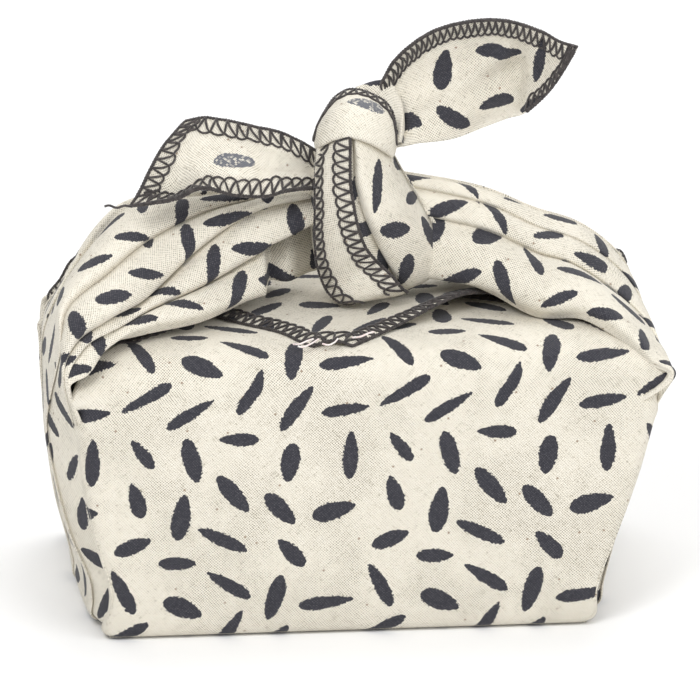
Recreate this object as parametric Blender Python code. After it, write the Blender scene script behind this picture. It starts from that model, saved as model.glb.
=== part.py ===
"""A furoshiki: one square cotton cloth, knotted over itself as a hollow carrying wrap.

The cloth lies cornerwise. Its near corner runs up the front and over the top, its far corner runs up
the back and forward over that as a flap, and its side corners run up both ends as pleated ears that
meet in one knot, past which their tips stand free as two tails. It is one piece, so it is one solid:
the panels, ears, knot and tails are built apart as sheets and joined.

Sizes are in millimetres. +X is the right side, +Y is the back and +Z is up, as the wrap stands with
its flap to the front. The last step moves the middle of the wrap's footprint to the origin.
"""

import bmesh
import bpy
import numpy as np
from mathutils import Matrix

MM = 0.001

# ---------------------------------------------------------------- driving sizes

CLOTH_THICK = 1.8       # thickness of the modelled cloth
TUCK_INSET = 1.3        # how far an end wall lies inside the panel that folds over its edge
TUCK_REACH = 10.0       # how far an end wall runs on behind that panel
WRAP_REACH = 8.5        # how far a panel turns round the wrap's upright corners
CORNER_RADIUS = 6.0     # upright corners
HEM_RADIUS = 5.0        # rounding where the walls turn under to the base
BASE_THICK = 3.0        # the flat base: the cloth and the folds turned under with it
BASE_INSET = 3.5        # from the walls' outline to the edge of the flat base
BASE_TURN = 9.0         # how far the walls run in over the base
WALL_LOW_Z = 1.1        # height of the walls' lowest row, halfway up the base

# The wrap's outline at each height: the x of its four corners and the y of its front and back.
PLAN_COLUMNS = ("z", "front_left", "back_left", "front_right", "back_right", "front", "back")
PLAN = (
    (0.0, -77.5, -81.0, 77.0, 83.5, -49.5, 45.5),
    (14.0, -76.8, -84.0, 80.4, 86.5, -50.0, 46.0),
    (26.0, -78.6, -86.6, 83.4, 88.5, -50.3, 46.5),
    (44.0, -82.0, -88.8, 88.8, 90.0, -50.6, 47.0),
    (62.0, -83.8, -89.8, 93.6, 91.5, -50.9, 47.2),
    (74.0, -85.2, -89.8, 96.6, 92.5, -51.2, 47.2),
    (82.0, -86.4, -89.2, 101.0, 93.0, -51.4, 47.0),
)

# Rows of the near corner over the top, from the front edge back to the corner's hidden tip:
# the middle's y and z, then x at both hems, then y and z at the left hem and at the right hem.
TOP_COLUMNS = ("y", "z", "x_left", "x_right", "y_left", "z_left", "y_right", "z_right")
NEAR_CORNER = (
    (-49.4, 84.8, -85.6, 99.0, -43.0, 83.6, -44.0, 82.6),
    (-45.0, 87.2, -83.0, 96.0, -38.0, 86.4, -38.0, 85.6),
    (-36.0, 88.8, -77.0, 89.0, -30.0, 88.3, -28.0, 88.0),
    (-24.0, 89.8, -66.0, 79.0, -19.0, 89.3, -15.0, 89.0),
    (-8.0, 90.4, -50.0, 61.0, -5.0, 90.0, -3.0, 89.8),
    (10.0, 89.4, -31.0, 37.0, 12.0, 89.2, 12.0, 89.2),
    (22.0, 87.8, -17.0, 20.0, 23.0, 87.8, 23.0, 87.8),
    (33.0, 85.0, -1.5, 1.5, 33.0, 85.0, 33.0, 85.0),
)

# The far corner: from the back edge forward to the flap's tip, whose right hem lifts off the front.
FAR_CORNER = (
    (46.0, 83.5, -88.0, 91.5, 40.5, 81.5, 40.5, 82.5),
    (42.0, 87.0, -86.0, 89.0, 37.0, 85.5, 37.0, 86.0),
    (34.0, 90.0, -80.0, 83.0, 31.0, 89.0, 31.0, 89.2),
    (22.0, 92.4, -68.0, 72.0, 20.5, 91.6, 20.0, 91.8),
    (8.0, 93.4, -54.0, 60.0, 7.0, 92.9, 5.0, 93.6),
    (-4.0, 93.6, -42.0, 50.0, -5.0, 93.2, -5.5, 97.0),
    (-15.0, 93.2, -31.0, 37.0, -15.5, 93.0, -12.0, 99.0),
    (-25.0, 92.2, -20.0, 19.0, -25.5, 92.4, -24.0, 94.6),
    (-32.5, 91.2, -10.5, 5.0, -33.0, 91.6, -33.0, 91.6),
    (-36.5, 90.8, -3.5, -0.5, -36.5, 90.8, -36.5, 90.8),
)

# Heights at which the rows of the walls lie.
WALL_ROWS = (3.4, 10.0, 18.0, 32.0, 50.0, 66.0)
PANEL_TOP_ROWS = (74.0, 80.5)

# Lines along the left ear, from the end wall's top to the knot: the front edge, the creases between
# its pleats, the ridge and the back hem. `wall` is where the line runs down the end wall, 0 front to
# 1 back, and `proud` how far the pleat above the line stands out at each station.
LEFT_EAR = (
    {"line": "front edge", "wall": 0.0,
     "at": ((-84.6, -49.0, 82.5), (-81.5, -40.0, 89.4), (-75.2, -31.0, 90.4), (-60.4, -24.5, 91.4),
            (-42.9, -20.0, 92.4), (-23.7, -6.5, 96.0), (-4.0, -4.0, 99.0)),
     "proud": (1.0, 2.6, 4.2, 5.8, 6.6, 6.0, 3.0)},
    {"line": "first crease", "wall": 0.07,
     "at": ((-85.6, -48.0, 84.5), (-82.0, -43.0, 95.0), (-74.4, -36.0, 98.2), (-60.6, -24.5, 99.6),
            (-42.6, -15.0, 104.4), (-24.3, -8.0, 112.4), (-4.0, -5.0, 121.0)),
     "proud": (1.0, 1.6, 2.6, 4.6, 6.0, 5.0, 3.0)},
    {"line": "second crease", "wall": 0.13,
     "at": ((-86.4, -46.0, 85.5), (-83.0, -43.0, 96.6), (-73.6, -35.0, 101.2), (-60.4, -21.0, 103.6),
            (-41.4, -9.0, 115.6), (-23.7, -4.0, 124.4), (-4.0, -3.0, 128.0)),
     "proud": (1.2, 4.0, 5.2, 5.8, 4.0, 3.0, 2.0)},
    {"line": "third crease", "wall": 0.30,
     "at": ((-88.0, -34.0, 87.5), (-84.6, -30.0, 102.0), (-72.8, -21.0, 111.0), (-59.4, -10.0, 117.4),
            (-40.8, -2.0, 123.6), (-23.4, 0.0, 126.6), (-4.0, 0.0, 130.0)),
     "proud": (1.0, 3.0, 4.0, 3.4, 2.4, 2.0, 1.0)},
    {"line": "ridge", "wall": 0.52,
     "at": ((-88.8, -4.0, 87.0), (-81.0, 0.0, 102.0), (-71.0, 4.0, 117.5), (-61.1, 6.0, 124.0),
            (-40.7, 7.0, 125.6), (-22.9, 6.0, 127.0), (-4.0, 4.0, 129.0)),
     "proud": (0.5, 2.0, 3.0, 3.0, 2.5, 2.0, 1.0)},
    {"line": "back slope", "wall": 0.78,
     "at": ((-89.0, 24.0, 83.0), (-80.5, 24.0, 94.0), (-73.5, 20.0, 105.5), (-61.0, 20.0, 111.0),
            (-42.0, 17.0, 114.0), (-24.0, 12.0, 118.0), (-4.0, 6.0, 123.0)),
     "proud": (0.0, 0.6, 1.0, 1.0, 1.0, 1.0, 0.5)},
    {"line": "back hem", "wall": 1.0,
     "at": ((-86.5, 45.3, 79.0), (-84.0, 37.0, 86.0), (-77.5, 30.0, 93.5), (-63.0, 26.0, 95.8),
            (-44.0, 21.5, 96.4), (-25.0, 14.0, 98.5), (-4.0, 5.0, 108.0)),
     "proud": None},
)

RIGHT_EAR = (
    {"line": "front edge", "wall": 0.0,
     "at": ((99.2, -49.6, 81.6), (93.5, -42.0, 85.8), (88.5, -33.0, 88.6), (75.5, -19.0, 91.2),
            (61.0, -14.5, 91.8), (43.0, -6.0, 98.2), (22.0, -4.0, 103.0)),
     "proud": (1.5, 3.0, 4.6, 7.0, 9.0, 9.5, 6.0)},
    {"line": "fold crease", "wall": 0.20,
     "at": ((98.0, -30.0, 82.5), (94.5, -14.0, 88.5), (84.5, -2.0, 95.0), (73.0, -1.0, 102.6),
            (62.3, -3.0, 107.0), (44.7, -3.0, 115.6), (24.0, -2.0, 121.0)),
     "proud": (1.0, 2.0, 2.6, 3.2, 4.0, 4.4, 3.0)},
    {"line": "upper crease", "wall": 0.45,
     "at": ((96.0, -2.0, 82.5), (94.6, 6.0, 89.6), (87.0, 9.0, 98.6), (75.5, 7.0, 107.5),
            (63.0, 5.0, 112.8), (44.5, 4.0, 122.0), (24.0, 2.0, 129.0)),
     "proud": (0.8, 1.4, 2.0, 2.4, 2.6, 2.6, 2.0)},
    {"line": "ridge", "wall": 0.72,
     "at": ((94.0, 22.0, 82.5), (93.4, 22.0, 91.0), (87.5, 20.0, 100.0), (76.5, 16.0, 109.6),
            (63.0, 13.0, 115.6), (44.5, 9.0, 125.0), (24.0, 5.0, 132.0)),
     "proud": (0.4, 1.0, 1.6, 2.0, 2.0, 1.6, 1.0)},
    {"line": "back hem", "wall": 1.0,
     "at": ((90.5, 45.3, 80.5), (91.0, 36.0, 88.0), (85.5, 29.5, 95.0), (76.0, 27.0, 97.5),
            (62.0, 24.0, 97.0), (44.0, 18.0, 98.5), (24.0, 8.0, 109.0)),
     "proud": None},
)

# Lines down the knot, top to bottom, once round it: the left border, the edge of the band in front,
# the narrow fold beside it, the edge of the broad lobe, then two lines down the back.
KNOT = (
    {"line": "left border",
     "at": ((-5.0, -8.0, 152.0), (-7.0, -12.0, 144.0), (-7.5, -13.0, 132.0), (-7.5, -13.0, 117.0),
            (-6.2, -12.0, 104.0), (-2.6, -10.0, 97.5), (2.0, -5.0, 95.0)),
     "proud": (1.0, 2.4, 3.0, 3.2, 3.0, 2.4, 1.0)},
    {"line": "band edge",
     "at": ((2.0, -12.0, 153.0), (3.0, -17.0, 145.0), (2.8, -19.5, 135.0), (4.9, -20.5, 121.0),
            (9.6, -17.5, 109.0), (16.0, -11.5, 99.0), (14.0, -6.0, 95.4)),
     "proud": (0.4, 0.6, 0.9, 1.2, 1.6, 1.6, 0.8)},
    {"line": "lobe fold",
     "at": ((4.0, -12.0, 153.0), (4.6, -16.0, 145.0), (4.8, -18.5, 135.0), (7.0, -19.5, 123.0),
            (12.2, -17.0, 111.0), (18.6, -12.0, 102.0), (17.0, -6.0, 96.5)),
     "proud": (1.6, 3.2, 4.4, 5.6, 6.0, 4.4, 1.6)},
    {"line": "lobe edge",
     "at": ((15.0, -6.0, 152.0), (19.0, -4.0, 143.0), (24.5, -3.0, 133.0), (30.0, -3.0, 122.0),
            (33.6, -3.5, 110.0), (31.0, -4.0, 101.5), (22.0, -3.0, 97.5)),
     "proud": (1.0, 2.6, 3.4, 4.0, 4.0, 3.0, 1.0)},
    {"line": "back right",
     "at": ((13.0, 7.0, 152.0), (17.0, 11.0, 143.0), (20.0, 13.5, 133.0), (22.0, 14.5, 121.0),
            (21.0, 13.5, 109.0), (18.0, 9.0, 100.0), (15.0, 3.0, 96.0)),
     "proud": (1.0, 2.4, 3.2, 3.6, 3.4, 2.6, 1.0)},
    {"line": "back left",
     "at": ((0.0, 7.0, 152.0), (-2.0, 11.0, 143.0), (-3.0, 13.0, 133.0), (-3.0, 13.5, 120.0),
            (-1.0, 12.0, 108.0), (2.0, 8.0, 99.5), (6.0, 2.0, 95.6)),
     "proud": (1.0, 2.4, 3.2, 3.4, 3.2, 2.4, 1.0)},
)

# Two bands that cross over the top of the knot, as rings of an arch from left to right:
# the middle of each ring, its half width front to back, its half thickness and its lean.
BAND_COLUMNS = ("x", "y", "z", "half_width", "half_thick", "lean_deg")
HOOD = (
    (-5.5, -3.0, 146.0, 4.0, 3.0, 80.0),
    (-4.0, -4.0, 151.0, 7.5, 4.0, 60.0),
    (0.5, -4.5, 155.0, 9.5, 4.8, 25.0),
    (7.0, -4.0, 157.2, 10.5, 5.0, 0.0),
    (13.5, -3.5, 155.0, 9.5, 4.6, -30.0),
    (17.5, -3.0, 150.0, 7.0, 3.6, -65.0),
    (18.5, -2.0, 145.0, 4.0, 2.6, -85.0),
)
COLLAR = (
    (8.0, 6.0, 158.0, 4.0, 2.6, 10.0),
    (13.5, 5.0, 160.0, 6.0, 3.0, -15.0),
    (18.5, 3.5, 157.0, 7.0, 3.0, -50.0),
    (20.8, 1.5, 151.0, 6.5, 2.8, -80.0),
    (19.5, 0.0, 144.0, 4.5, 2.6, -95.0),
)

# The tails as rows from the knot outward, each from its lower edge to its upper hem.
LEFT_TAIL = (
    ((-1.0, -6.0, 132.5), (-1.0, -3.0, 134.5), (-1.0, -1.0, 137.0), (-1.0, -2.0, 140.5)),
    ((-15.3, -11.0, 132.4), (-14.8, -5.0, 135.5), (-14.5, -1.0, 140.5), (-14.4, -1.0, 145.0)),
    ((-27.0, -13.0, 132.9), (-26.0, -6.0, 136.6), (-25.6, 0.0, 143.2), (-25.1, 2.0, 149.4)),
    ((-41.0, -14.0, 132.6), (-37.0, -6.0, 137.6), (-35.0, 2.0, 145.0), (-33.5, 4.5, 151.8)),
    ((-52.0, -15.0, 131.8), (-48.0, -8.0, 138.0), (-43.6, 0.0, 145.6), (-38.6, 5.0, 153.0)),
    ((-63.6, -14.5, 130.4), (-57.6, -9.5, 138.0), (-50.4, -3.0, 146.0), (-42.4, 4.0, 152.8)),
)
RIGHT_TAIL = (
    ((15.0, -1.0, 142.0), (14.6, 2.0, 148.0), (14.4, 3.0, 154.0), (14.0, 4.0, 160.0)),
    ((26.0, -2.0, 143.4), (23.6, 5.0, 151.6), (22.0, 6.0, 162.0), (20.8, 5.0, 170.4)),
    ((38.0, -4.0, 147.0), (36.0, 5.0, 156.0), (33.4, 8.5, 168.0), (31.0, 6.0, 178.0)),
    ((49.5, -5.5, 150.4), (47.4, 4.0, 160.0), (45.6, 8.0, 171.6), (44.0, 5.0, 181.4)),
    ((59.6, -6.5, 154.8), (58.8, 1.0, 163.0), (58.0, 4.0, 172.0), (57.0, 2.6, 181.0)),
    ((67.4, -5.5, 163.6), (67.6, -2.4, 167.8), (67.6, -0.6, 172.4), (67.0, 0.2, 177.4)),
    ((73.6, -2.4, 173.4), (73.9, -2.2, 173.9), (74.1, -2.1, 174.3), (74.4, -2.0, 174.8)),
)

# A pleat in section: how far along from its lower crease to the next, and how far out, both 0 to 1.
PLEAT_SHAPE = ((0.0, 0.0), (-0.02, 0.62), (0.22, 1.0), (0.62, 0.82), (1.0, 0.0))

# ---------------------------------------------------------------- how finely each form is divided

PANEL_COLUMNS, PANEL_ROWS = 24, 19
EAR_PLEAT_COLUMNS, EAR_ROWS = 4, 24
KNOT_PLEAT_COLUMNS, KNOT_ROWS = 4, 13
BAND_SIDES, BAND_ROWS = 12, 10
TAIL_COLUMNS, TAIL_ROWS = 9, 12
BASE_POINTS = 14        # points along each side of the base

CLOTH_COLOUR = (0.86, 0.83, 0.74, 1.0)
CLOTH_ROUGHNESS = 0.9


# ---------------------------------------------------------------- curves

def curve_through(points, count):
    """`count` points on the smooth curve through `points`, evenly spaced from one to the next."""
    points = np.asarray(points, float)
    at = np.linspace(0.0, len(points) - 1.0, count)
    start = np.minimum(at.astype(int), len(points) - 2)
    step = (at - start).reshape((-1,) + (1,) * (points.ndim - 1))
    ended = np.concatenate([[2 * points[0] - points[1]], points, [2 * points[-1] - points[-2]]])
    before, first, second, after = (ended[start + k] for k in range(4))
    return 0.5 * (
        2 * first
        + (second - before) * step
        + (2 * before - 5 * first + 4 * second - after) * step**2
        + (3 * first - before - 3 * second + after) * step**3
    )


def above_base(grid):
    """The grid with no point under the walls' lowest row, so that only the flat base rests."""
    return np.dstack([grid[:, :, :2], np.maximum(grid[:, :, 2:], WALL_LOW_Z)])


def plan_at(z):
    """The wrap's outline at height z, with its lower edge turned in."""
    heights = [row[0] for row in PLAN]
    plan = {name: np.interp(z, heights, [row[k] for row in PLAN]) for k, name in enumerate(PLAN_COLUMNS)}
    turn = max(0.0, HEM_RADIUS - z)
    inset = HEM_RADIUS - np.sqrt(HEM_RADIUS**2 - turn**2)
    return {
        "front_left": np.array([plan["front_left"] + inset, plan["front"] + inset]),
        "back_left": np.array([plan["back_left"] + inset, plan["back"] - inset]),
        "front_right": np.array([plan["front_right"] - inset, plan["front"] + inset]),
        "back_right": np.array([plan["back_right"] - inset, plan["back"] - inset]),
    }


def rounded_path(corners, radius, count):
    """`count` points spaced evenly along a path of straight runs joined by arcs."""
    path = [corners[0]]
    for before, corner, after in zip(corners, corners[1:], corners[2:]):
        into = (before - corner) / np.linalg.norm(before - corner)
        out = (after - corner) / np.linalg.norm(after - corner)
        for share in np.linspace(0.0, 1.0, 7):
            path.append(
                corner
                + into * radius * (1 - share) ** 2
                + out * radius * share**2
            )
    path.append(corners[-1])
    path = np.array(path)
    run = np.concatenate([[0.0], np.cumsum(np.linalg.norm(np.diff(path, axis=0), axis=1))])
    at = np.linspace(0.0, run[-1], count) if np.isscalar(count) else np.asarray(count) * run[-1]
    return np.stack([np.interp(at, run, path[:, k]) for k in range(2)], axis=1)


# ---------------------------------------------------------------- panels over the front and the back

def panel_row(z, front, turn_in=0.0):
    """One level row of the front or back panel, from its left edge round to its right edge."""
    plan = plan_at(z)
    left, right = (plan["front_left"], plan["front_right"]) if front else (plan["back_left"], plan["back_right"])
    inward = np.array([0.0, 1.0 if front else -1.0])
    left = left + inward * turn_in + (turn_in, 0.0)
    right = right + inward * turn_in - (turn_in, 0.0)
    corners = [left + inward * WRAP_REACH, left, right, right + inward * WRAP_REACH]
    flat = rounded_path(corners, CORNER_RADIUS, PANEL_COLUMNS)
    return np.column_stack([flat, np.full(len(flat), z)])


def top_row(row):
    """One row over the top, bowed from its middle to its two hems."""
    row = dict(zip(TOP_COLUMNS, row))
    across = np.linspace(-1.0, 1.0, PANEL_COLUMNS)
    bow = np.abs(across) ** 3
    side = np.where(across < 0, 0, 1)
    x = np.interp(across, (-1, 1), (row["x_left"], row["x_right"]))
    y = row["y"] + bow * (np.array([row["y_left"], row["y_right"]])[side] - row["y"])
    z = row["z"] + bow * (np.array([row["z_left"], row["z_right"]])[side] - row["z"])
    return np.column_stack([x, y, z])


def panel(front):
    rows = [panel_row(WALL_LOW_Z, front, BASE_TURN)]
    rows += [panel_row(z, front) for z in WALL_ROWS + PANEL_TOP_ROWS]
    rows += [top_row(row) for row in (NEAR_CORNER if front else FAR_CORNER)]
    return above_base(curve_through(rows, PANEL_ROWS))


# ---------------------------------------------------------------- end walls and ears

def wall_point(z, share, side, turn_in=0.0):
    """A point on an end wall, `share` of the way from its front edge to its back edge."""
    plan = plan_at(z)
    name = "left" if side < 0 else "right"
    front, back = plan["front_" + name], plan["back_" + name]
    inward = np.array([-side, 0.0])
    front = front + inward * (TUCK_INSET + turn_in) + (0.0, TUCK_INSET + turn_in)
    back = back + inward * (TUCK_INSET + turn_in) - (0.0, TUCK_INSET + turn_in)
    corners = [front + inward * TUCK_REACH, front, back, back + inward * TUCK_REACH]
    flat = rounded_path(corners, CORNER_RADIUS - TUCK_INSET, [share])[0]
    swell = (TUCK_INSET + 1.2) * np.sin(np.pi * np.clip(share * 1.5 - 0.25, 0, 1)) ** 0.8
    return np.array([flat[0] + side * swell, flat[1], z])


def ear_lines(ear, side):
    """Each line of an ear as points from the base up its end wall and on to the knot."""
    lines = []
    for line in ear:
        wall = [wall_point(WALL_LOW_Z, line["wall"], side, BASE_TURN)]
        wall += [wall_point(z, line["wall"], side) for z in WALL_ROWS]
        lines.append(wall + [np.array(point) for point in line["at"]])
    return curve_through(np.transpose(np.array(lines), (1, 0, 2)), EAR_ROWS)


def proud_heights(form, below, rows):
    """How far each pleat stands out at every row; `below` rows of it lie on an end wall."""
    tables = [line["proud"] for line in form if line["proud"] is not None]
    full = [[table[0]] * below + list(table) for table in tables]
    return curve_through(np.array(full).T, rows)


def pleated(lines, proud, columns, outward, closed=False):
    """A sheet through the lines whose pleats bulge outward between each line and the next."""
    shape = curve_through(PLEAT_SHAPE, columns + 1)[:-1]
    ahead = np.gradient(lines, axis=0)
    count = lines.shape[1]
    pieces = []
    for k in range(count if closed else count - 1):
        start, end = lines[:, k], lines[:, (k + 1) % count]
        span = end - start
        normal = np.cross(ahead[:, k] + ahead[:, (k + 1) % count], span) * outward
        normal /= np.linalg.norm(normal, axis=1, keepdims=True) + 1e-9
        for along, out in shape:
            pieces.append(start + span * along + normal * out * proud[:, k : k + 1])
    if not closed:
        pieces.append(lines[:, -1])
    return np.transpose(np.array(pieces), (1, 0, 2))


def ear(table, side):
    lines = ear_lines(table, side)
    proud = proud_heights(table, len(WALL_ROWS) + 1, EAR_ROWS)
    return above_base(pleated(lines, proud, EAR_PLEAT_COLUMNS, -side))


# ---------------------------------------------------------------- knot and tails

def knot():
    lines = np.transpose(np.array([line["at"] for line in KNOT]), (1, 0, 2))
    lines = curve_through(lines, KNOT_ROWS)
    proud = proud_heights(KNOT, 0, KNOT_ROWS)
    return pleated(lines, proud, KNOT_PLEAT_COLUMNS, 1.0, closed=True)


def band(table):
    """Rings of a flat band that arches over the knot."""
    rings = []
    around = np.linspace(0.0, 2 * np.pi, BAND_SIDES, endpoint=False)
    for row in curve_through(table, BAND_ROWS):
        x, y, z, half_width, half_thick, lean_deg = row
        lean = np.radians(lean_deg)
        out = np.array([-np.sin(lean), 0.0, np.cos(lean)])
        ring = np.outer(np.sin(around) * half_thick, out) + (x, y, z)
        ring[:, 1] += np.cos(around) * half_width
        rings.append(ring)
    return np.array(rings)


def tail(table):
    rows = np.array([curve_through(row, TAIL_COLUMNS) for row in table])
    return curve_through(rows, TAIL_ROWS)


# ---------------------------------------------------------------- meshes

def grid_normals(grid):
    along = np.gradient(grid, axis=0)
    across = np.gradient(grid, axis=1)
    normal = np.cross(along, across)
    return normal / (np.linalg.norm(normal, axis=2, keepdims=True) + 1e-9)


def mesh_object(name, points, faces):
    mesh = bpy.data.meshes.new(name)
    mesh.from_pydata([tuple(point) for point in points * MM], [], faces)
    work = bmesh.new()
    work.from_mesh(mesh)
    bmesh.ops.recalc_face_normals(work, faces=work.faces)
    work.to_mesh(mesh)
    work.free()
    made = bpy.data.objects.new(name, mesh)
    bpy.context.scene.collection.objects.link(made)
    return made


def sheet(name, grid, thick=CLOTH_THICK):
    """A closed solid, `thick` through, with the grid of points along its middle."""
    rows, columns = grid.shape[:2]
    offset = grid_normals(grid) * thick / 2
    points = np.concatenate([(grid + offset).reshape(-1, 3), (grid - offset).reshape(-1, 3)])
    under = rows * columns

    def at(r, c):
        return r * columns + c

    faces = []
    for r in range(rows - 1):
        for c in range(columns - 1):
            quad = [at(r, c), at(r, c + 1), at(r + 1, c + 1), at(r + 1, c)]
            faces.append(quad)
            faces.append([under + k for k in reversed(quad)])
    rim = [at(0, c) for c in range(columns)]
    rim += [at(r, columns - 1) for r in range(1, rows)]
    rim += [at(rows - 1, c) for c in range(columns - 2, -1, -1)]
    rim += [at(r, 0) for r in range(rows - 2, 0, -1)]
    for here, there in zip(rim, rim[1:] + rim[:1]):
        faces.append([there, here, under + here, under + there])
    return mesh_object(name, points, faces)


def closed_tube(name, rings):
    """A closed solid through rings of points, capped at both ends."""
    count, around = rings.shape[:2]
    points = np.concatenate([rings.reshape(-1, 3), [rings[0].mean(axis=0)], [rings[-1].mean(axis=0)]])
    first_cap, last_cap = count * around, count * around + 1
    faces = []
    for r in range(count - 1):
        for c in range(around):
            right = (c + 1) % around
            faces.append([r * around + c, r * around + right, (r + 1) * around + right, (r + 1) * around + c])
    for c in range(around):
        right = (c + 1) % around
        faces.append([right, c, first_cap])
        faces.append([(count - 1) * around + c, (count - 1) * around + right, last_cap])
    return mesh_object(name, points, faces)


def base():
    """The flat bottom, a little inside the walls' outline."""
    plan = plan_at(HEM_RADIUS)
    corners = [plan[name] for name in ("front_left", "front_right", "back_right", "back_left")]
    middle = np.mean(corners, axis=0)
    corners = [corner - np.sign(corner - middle) * BASE_INSET for corner in corners]
    loop = [(corners[0] + corners[3]) / 2, *corners, (corners[0] + corners[3]) / 2]
    flat = rounded_path(loop, CORNER_RADIUS, 4 * BASE_POINTS + 1)[:-1]
    low = np.column_stack([flat, np.zeros(len(flat))])
    points = np.concatenate([low, low + (0.0, 0.0, BASE_THICK)])
    count = len(flat)
    faces = [list(range(count)), list(range(count, 2 * count))]
    faces += [[k, (k + 1) % count, count + (k + 1) % count, count + k] for k in range(count)]
    return mesh_object("base", points, faces)


def centre(pieces):
    """Moves every piece alike, so that the middle of the wrap's outline is over the origin."""
    corners = np.array([vertex.co for piece in pieces for vertex in piece.data.vertices])
    middle = (corners.min(axis=0) + corners.max(axis=0)) / 2
    for piece in pieces:
        piece.data.transform(Matrix.Translation((-middle[0], -middle[1], 0.0)))


def join(body, others):
    """One solid of the body and everything it meets."""
    for other in others:
        other.hide_render = True
        other.display_type = "WIRE"
        union = body.modifiers.new("join " + other.name, "BOOLEAN")
        union.operation = "UNION"
        union.object = other
        union.solver = "MANIFOLD"


def cotton():
    material = bpy.data.materials.new("cotton")
    material.use_nodes = True
    shader = material.node_tree.nodes["Principled BSDF"]
    shader.inputs["Base Color"].default_value = CLOTH_COLOUR
    shader.inputs["Roughness"].default_value = CLOTH_ROUGHNESS
    shader.inputs["Metallic"].default_value = 0.0
    material.diffuse_color = CLOTH_COLOUR
    return material


def main():
    for thing in list(bpy.data.objects):
        bpy.data.objects.remove(thing, do_unlink=True)
    wrap = sheet("wrap_cloth", panel(front=True))
    others = [
        base(),
        sheet("left_end", ear(LEFT_EAR, -1)),
        sheet("right_end", ear(RIGHT_EAR, 1)),
        sheet("back_panel", panel(front=False)),
        closed_tube("knot", knot()),
        closed_tube("hood", band(HOOD)),
        closed_tube("collar", band(COLLAR)),
        sheet("left_tail", tail(LEFT_TAIL)),
        sheet("right_tail", tail(RIGHT_TAIL)),
    ]
    centre([wrap, *others])
    join(wrap, others)
    wrap.data.materials.append(cotton())


main()
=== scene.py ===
"""The looks of the furoshiki wrap: one printed cotton cloth, tied as the photograph shows it.

The cloth is built as thin sheets on the folds of the CAD solid, from the same tables of lines, with the
tucks between its pleats, its hems and its print added. Sizes are in millimetres until a mesh is made.
+X is the right side, +Y the back and +Z up. Every piece of cloth carries its place on the flat cloth, in
metres, as its UVs: the print and the weave are drawn there, so they follow each fold.
"""

import bpy
import numpy as np
from mathutils import Matrix, Vector

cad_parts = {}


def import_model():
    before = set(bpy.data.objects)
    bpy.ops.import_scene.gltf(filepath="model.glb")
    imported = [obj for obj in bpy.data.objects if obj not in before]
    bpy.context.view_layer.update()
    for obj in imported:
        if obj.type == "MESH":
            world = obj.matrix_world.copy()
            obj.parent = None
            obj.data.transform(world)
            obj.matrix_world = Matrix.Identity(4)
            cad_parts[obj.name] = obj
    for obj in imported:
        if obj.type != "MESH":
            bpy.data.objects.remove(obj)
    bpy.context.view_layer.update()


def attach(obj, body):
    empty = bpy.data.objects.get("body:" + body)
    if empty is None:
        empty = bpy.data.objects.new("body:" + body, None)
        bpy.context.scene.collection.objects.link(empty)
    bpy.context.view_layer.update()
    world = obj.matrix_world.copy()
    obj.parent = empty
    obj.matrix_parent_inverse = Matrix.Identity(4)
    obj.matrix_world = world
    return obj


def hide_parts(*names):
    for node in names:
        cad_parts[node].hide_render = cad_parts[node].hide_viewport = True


MM = 0.001
CENTRE = (5.28, -2.08)      # the middle of the tables' outline, which stands over the origin

# ---------------- camera

PIXELS_PER_MM = 3.2
ORIGIN_PIXEL = (336.0, 576.0)   # where the tables' origin falls in the 700 pixel frame
VIEW_AZIMUTH, VIEW_ELEVATION = -5.0, 21.0
CAMERA_DISTANCE, CAMERA_REACH = 6.0, 20.0
FRAME_PIXELS = 700
SENSOR_MM = 36.0

# ---------------- the cloth's forms, as in the CAD source

CLOTH_THICK = 0.5
PRINT_REPEAT = 80.0         # the print repeats after this many millimetres each way
CORNER_RADIUS = 6.0         # of the end walls' upright corners
LOW_EDGE_RADIUS = 5.0
WALL_LOW_Z = 0.55
TUCK_INSET = 1.3            # how far the end walls stand back inside the panels' folds
TUCK_REACH = 16.0
BASE_TURN, BASE_EDGE_TURN = 9.0, 3.0    # how far the cloth's first two rows lie in under the wrap

PLAN_COLUMNS = ("z", "front_left", "back_left", "front_right", "back_right", "front", "back")
PLAN = (
    (0, -77.5, -81, 77, 83.5, -49.5, 45.5),
    (14, -76.8, -84, 80.4, 86.5, -50, 46),
    (26, -78.6, -86.6, 83.4, 88.5, -50.3, 46.5),
    (44, -82, -88.8, 88.8, 90, -50.6, 47),
    (62, -83.8, -89.8, 93.6, 91.5, -50.9, 47.2),
    (74, -85.2, -89.8, 96.6, 92.5, -51.2, 47.2),
    (82, -86.4, -89.2, 101, 93, -51.4, 47),
)

# How each panel's cloth goes round the upright corners before it folds back under itself, by height.
FOLD_GAP, FOLD_BACK, FOLD_TURN = 1.0, 3.2, 0.5
FOLD_HEIGHTS = (0, 4, 9, 16, 30, 42, 60, 74, 80.5)
FOLD_AT = {
    "reach": (6, 5.4, 4, 3.6, 4, 4.8, 6.2, 7.6, 8.4),
    "radius": (5, 4.4, 3.4, 3.1, 3.4, 4, 5, 6, 6.6),
    "set_in": (0, 0.2, 2, 2.6, 1.2, 0.2, 0, 0, 0),
}

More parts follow.
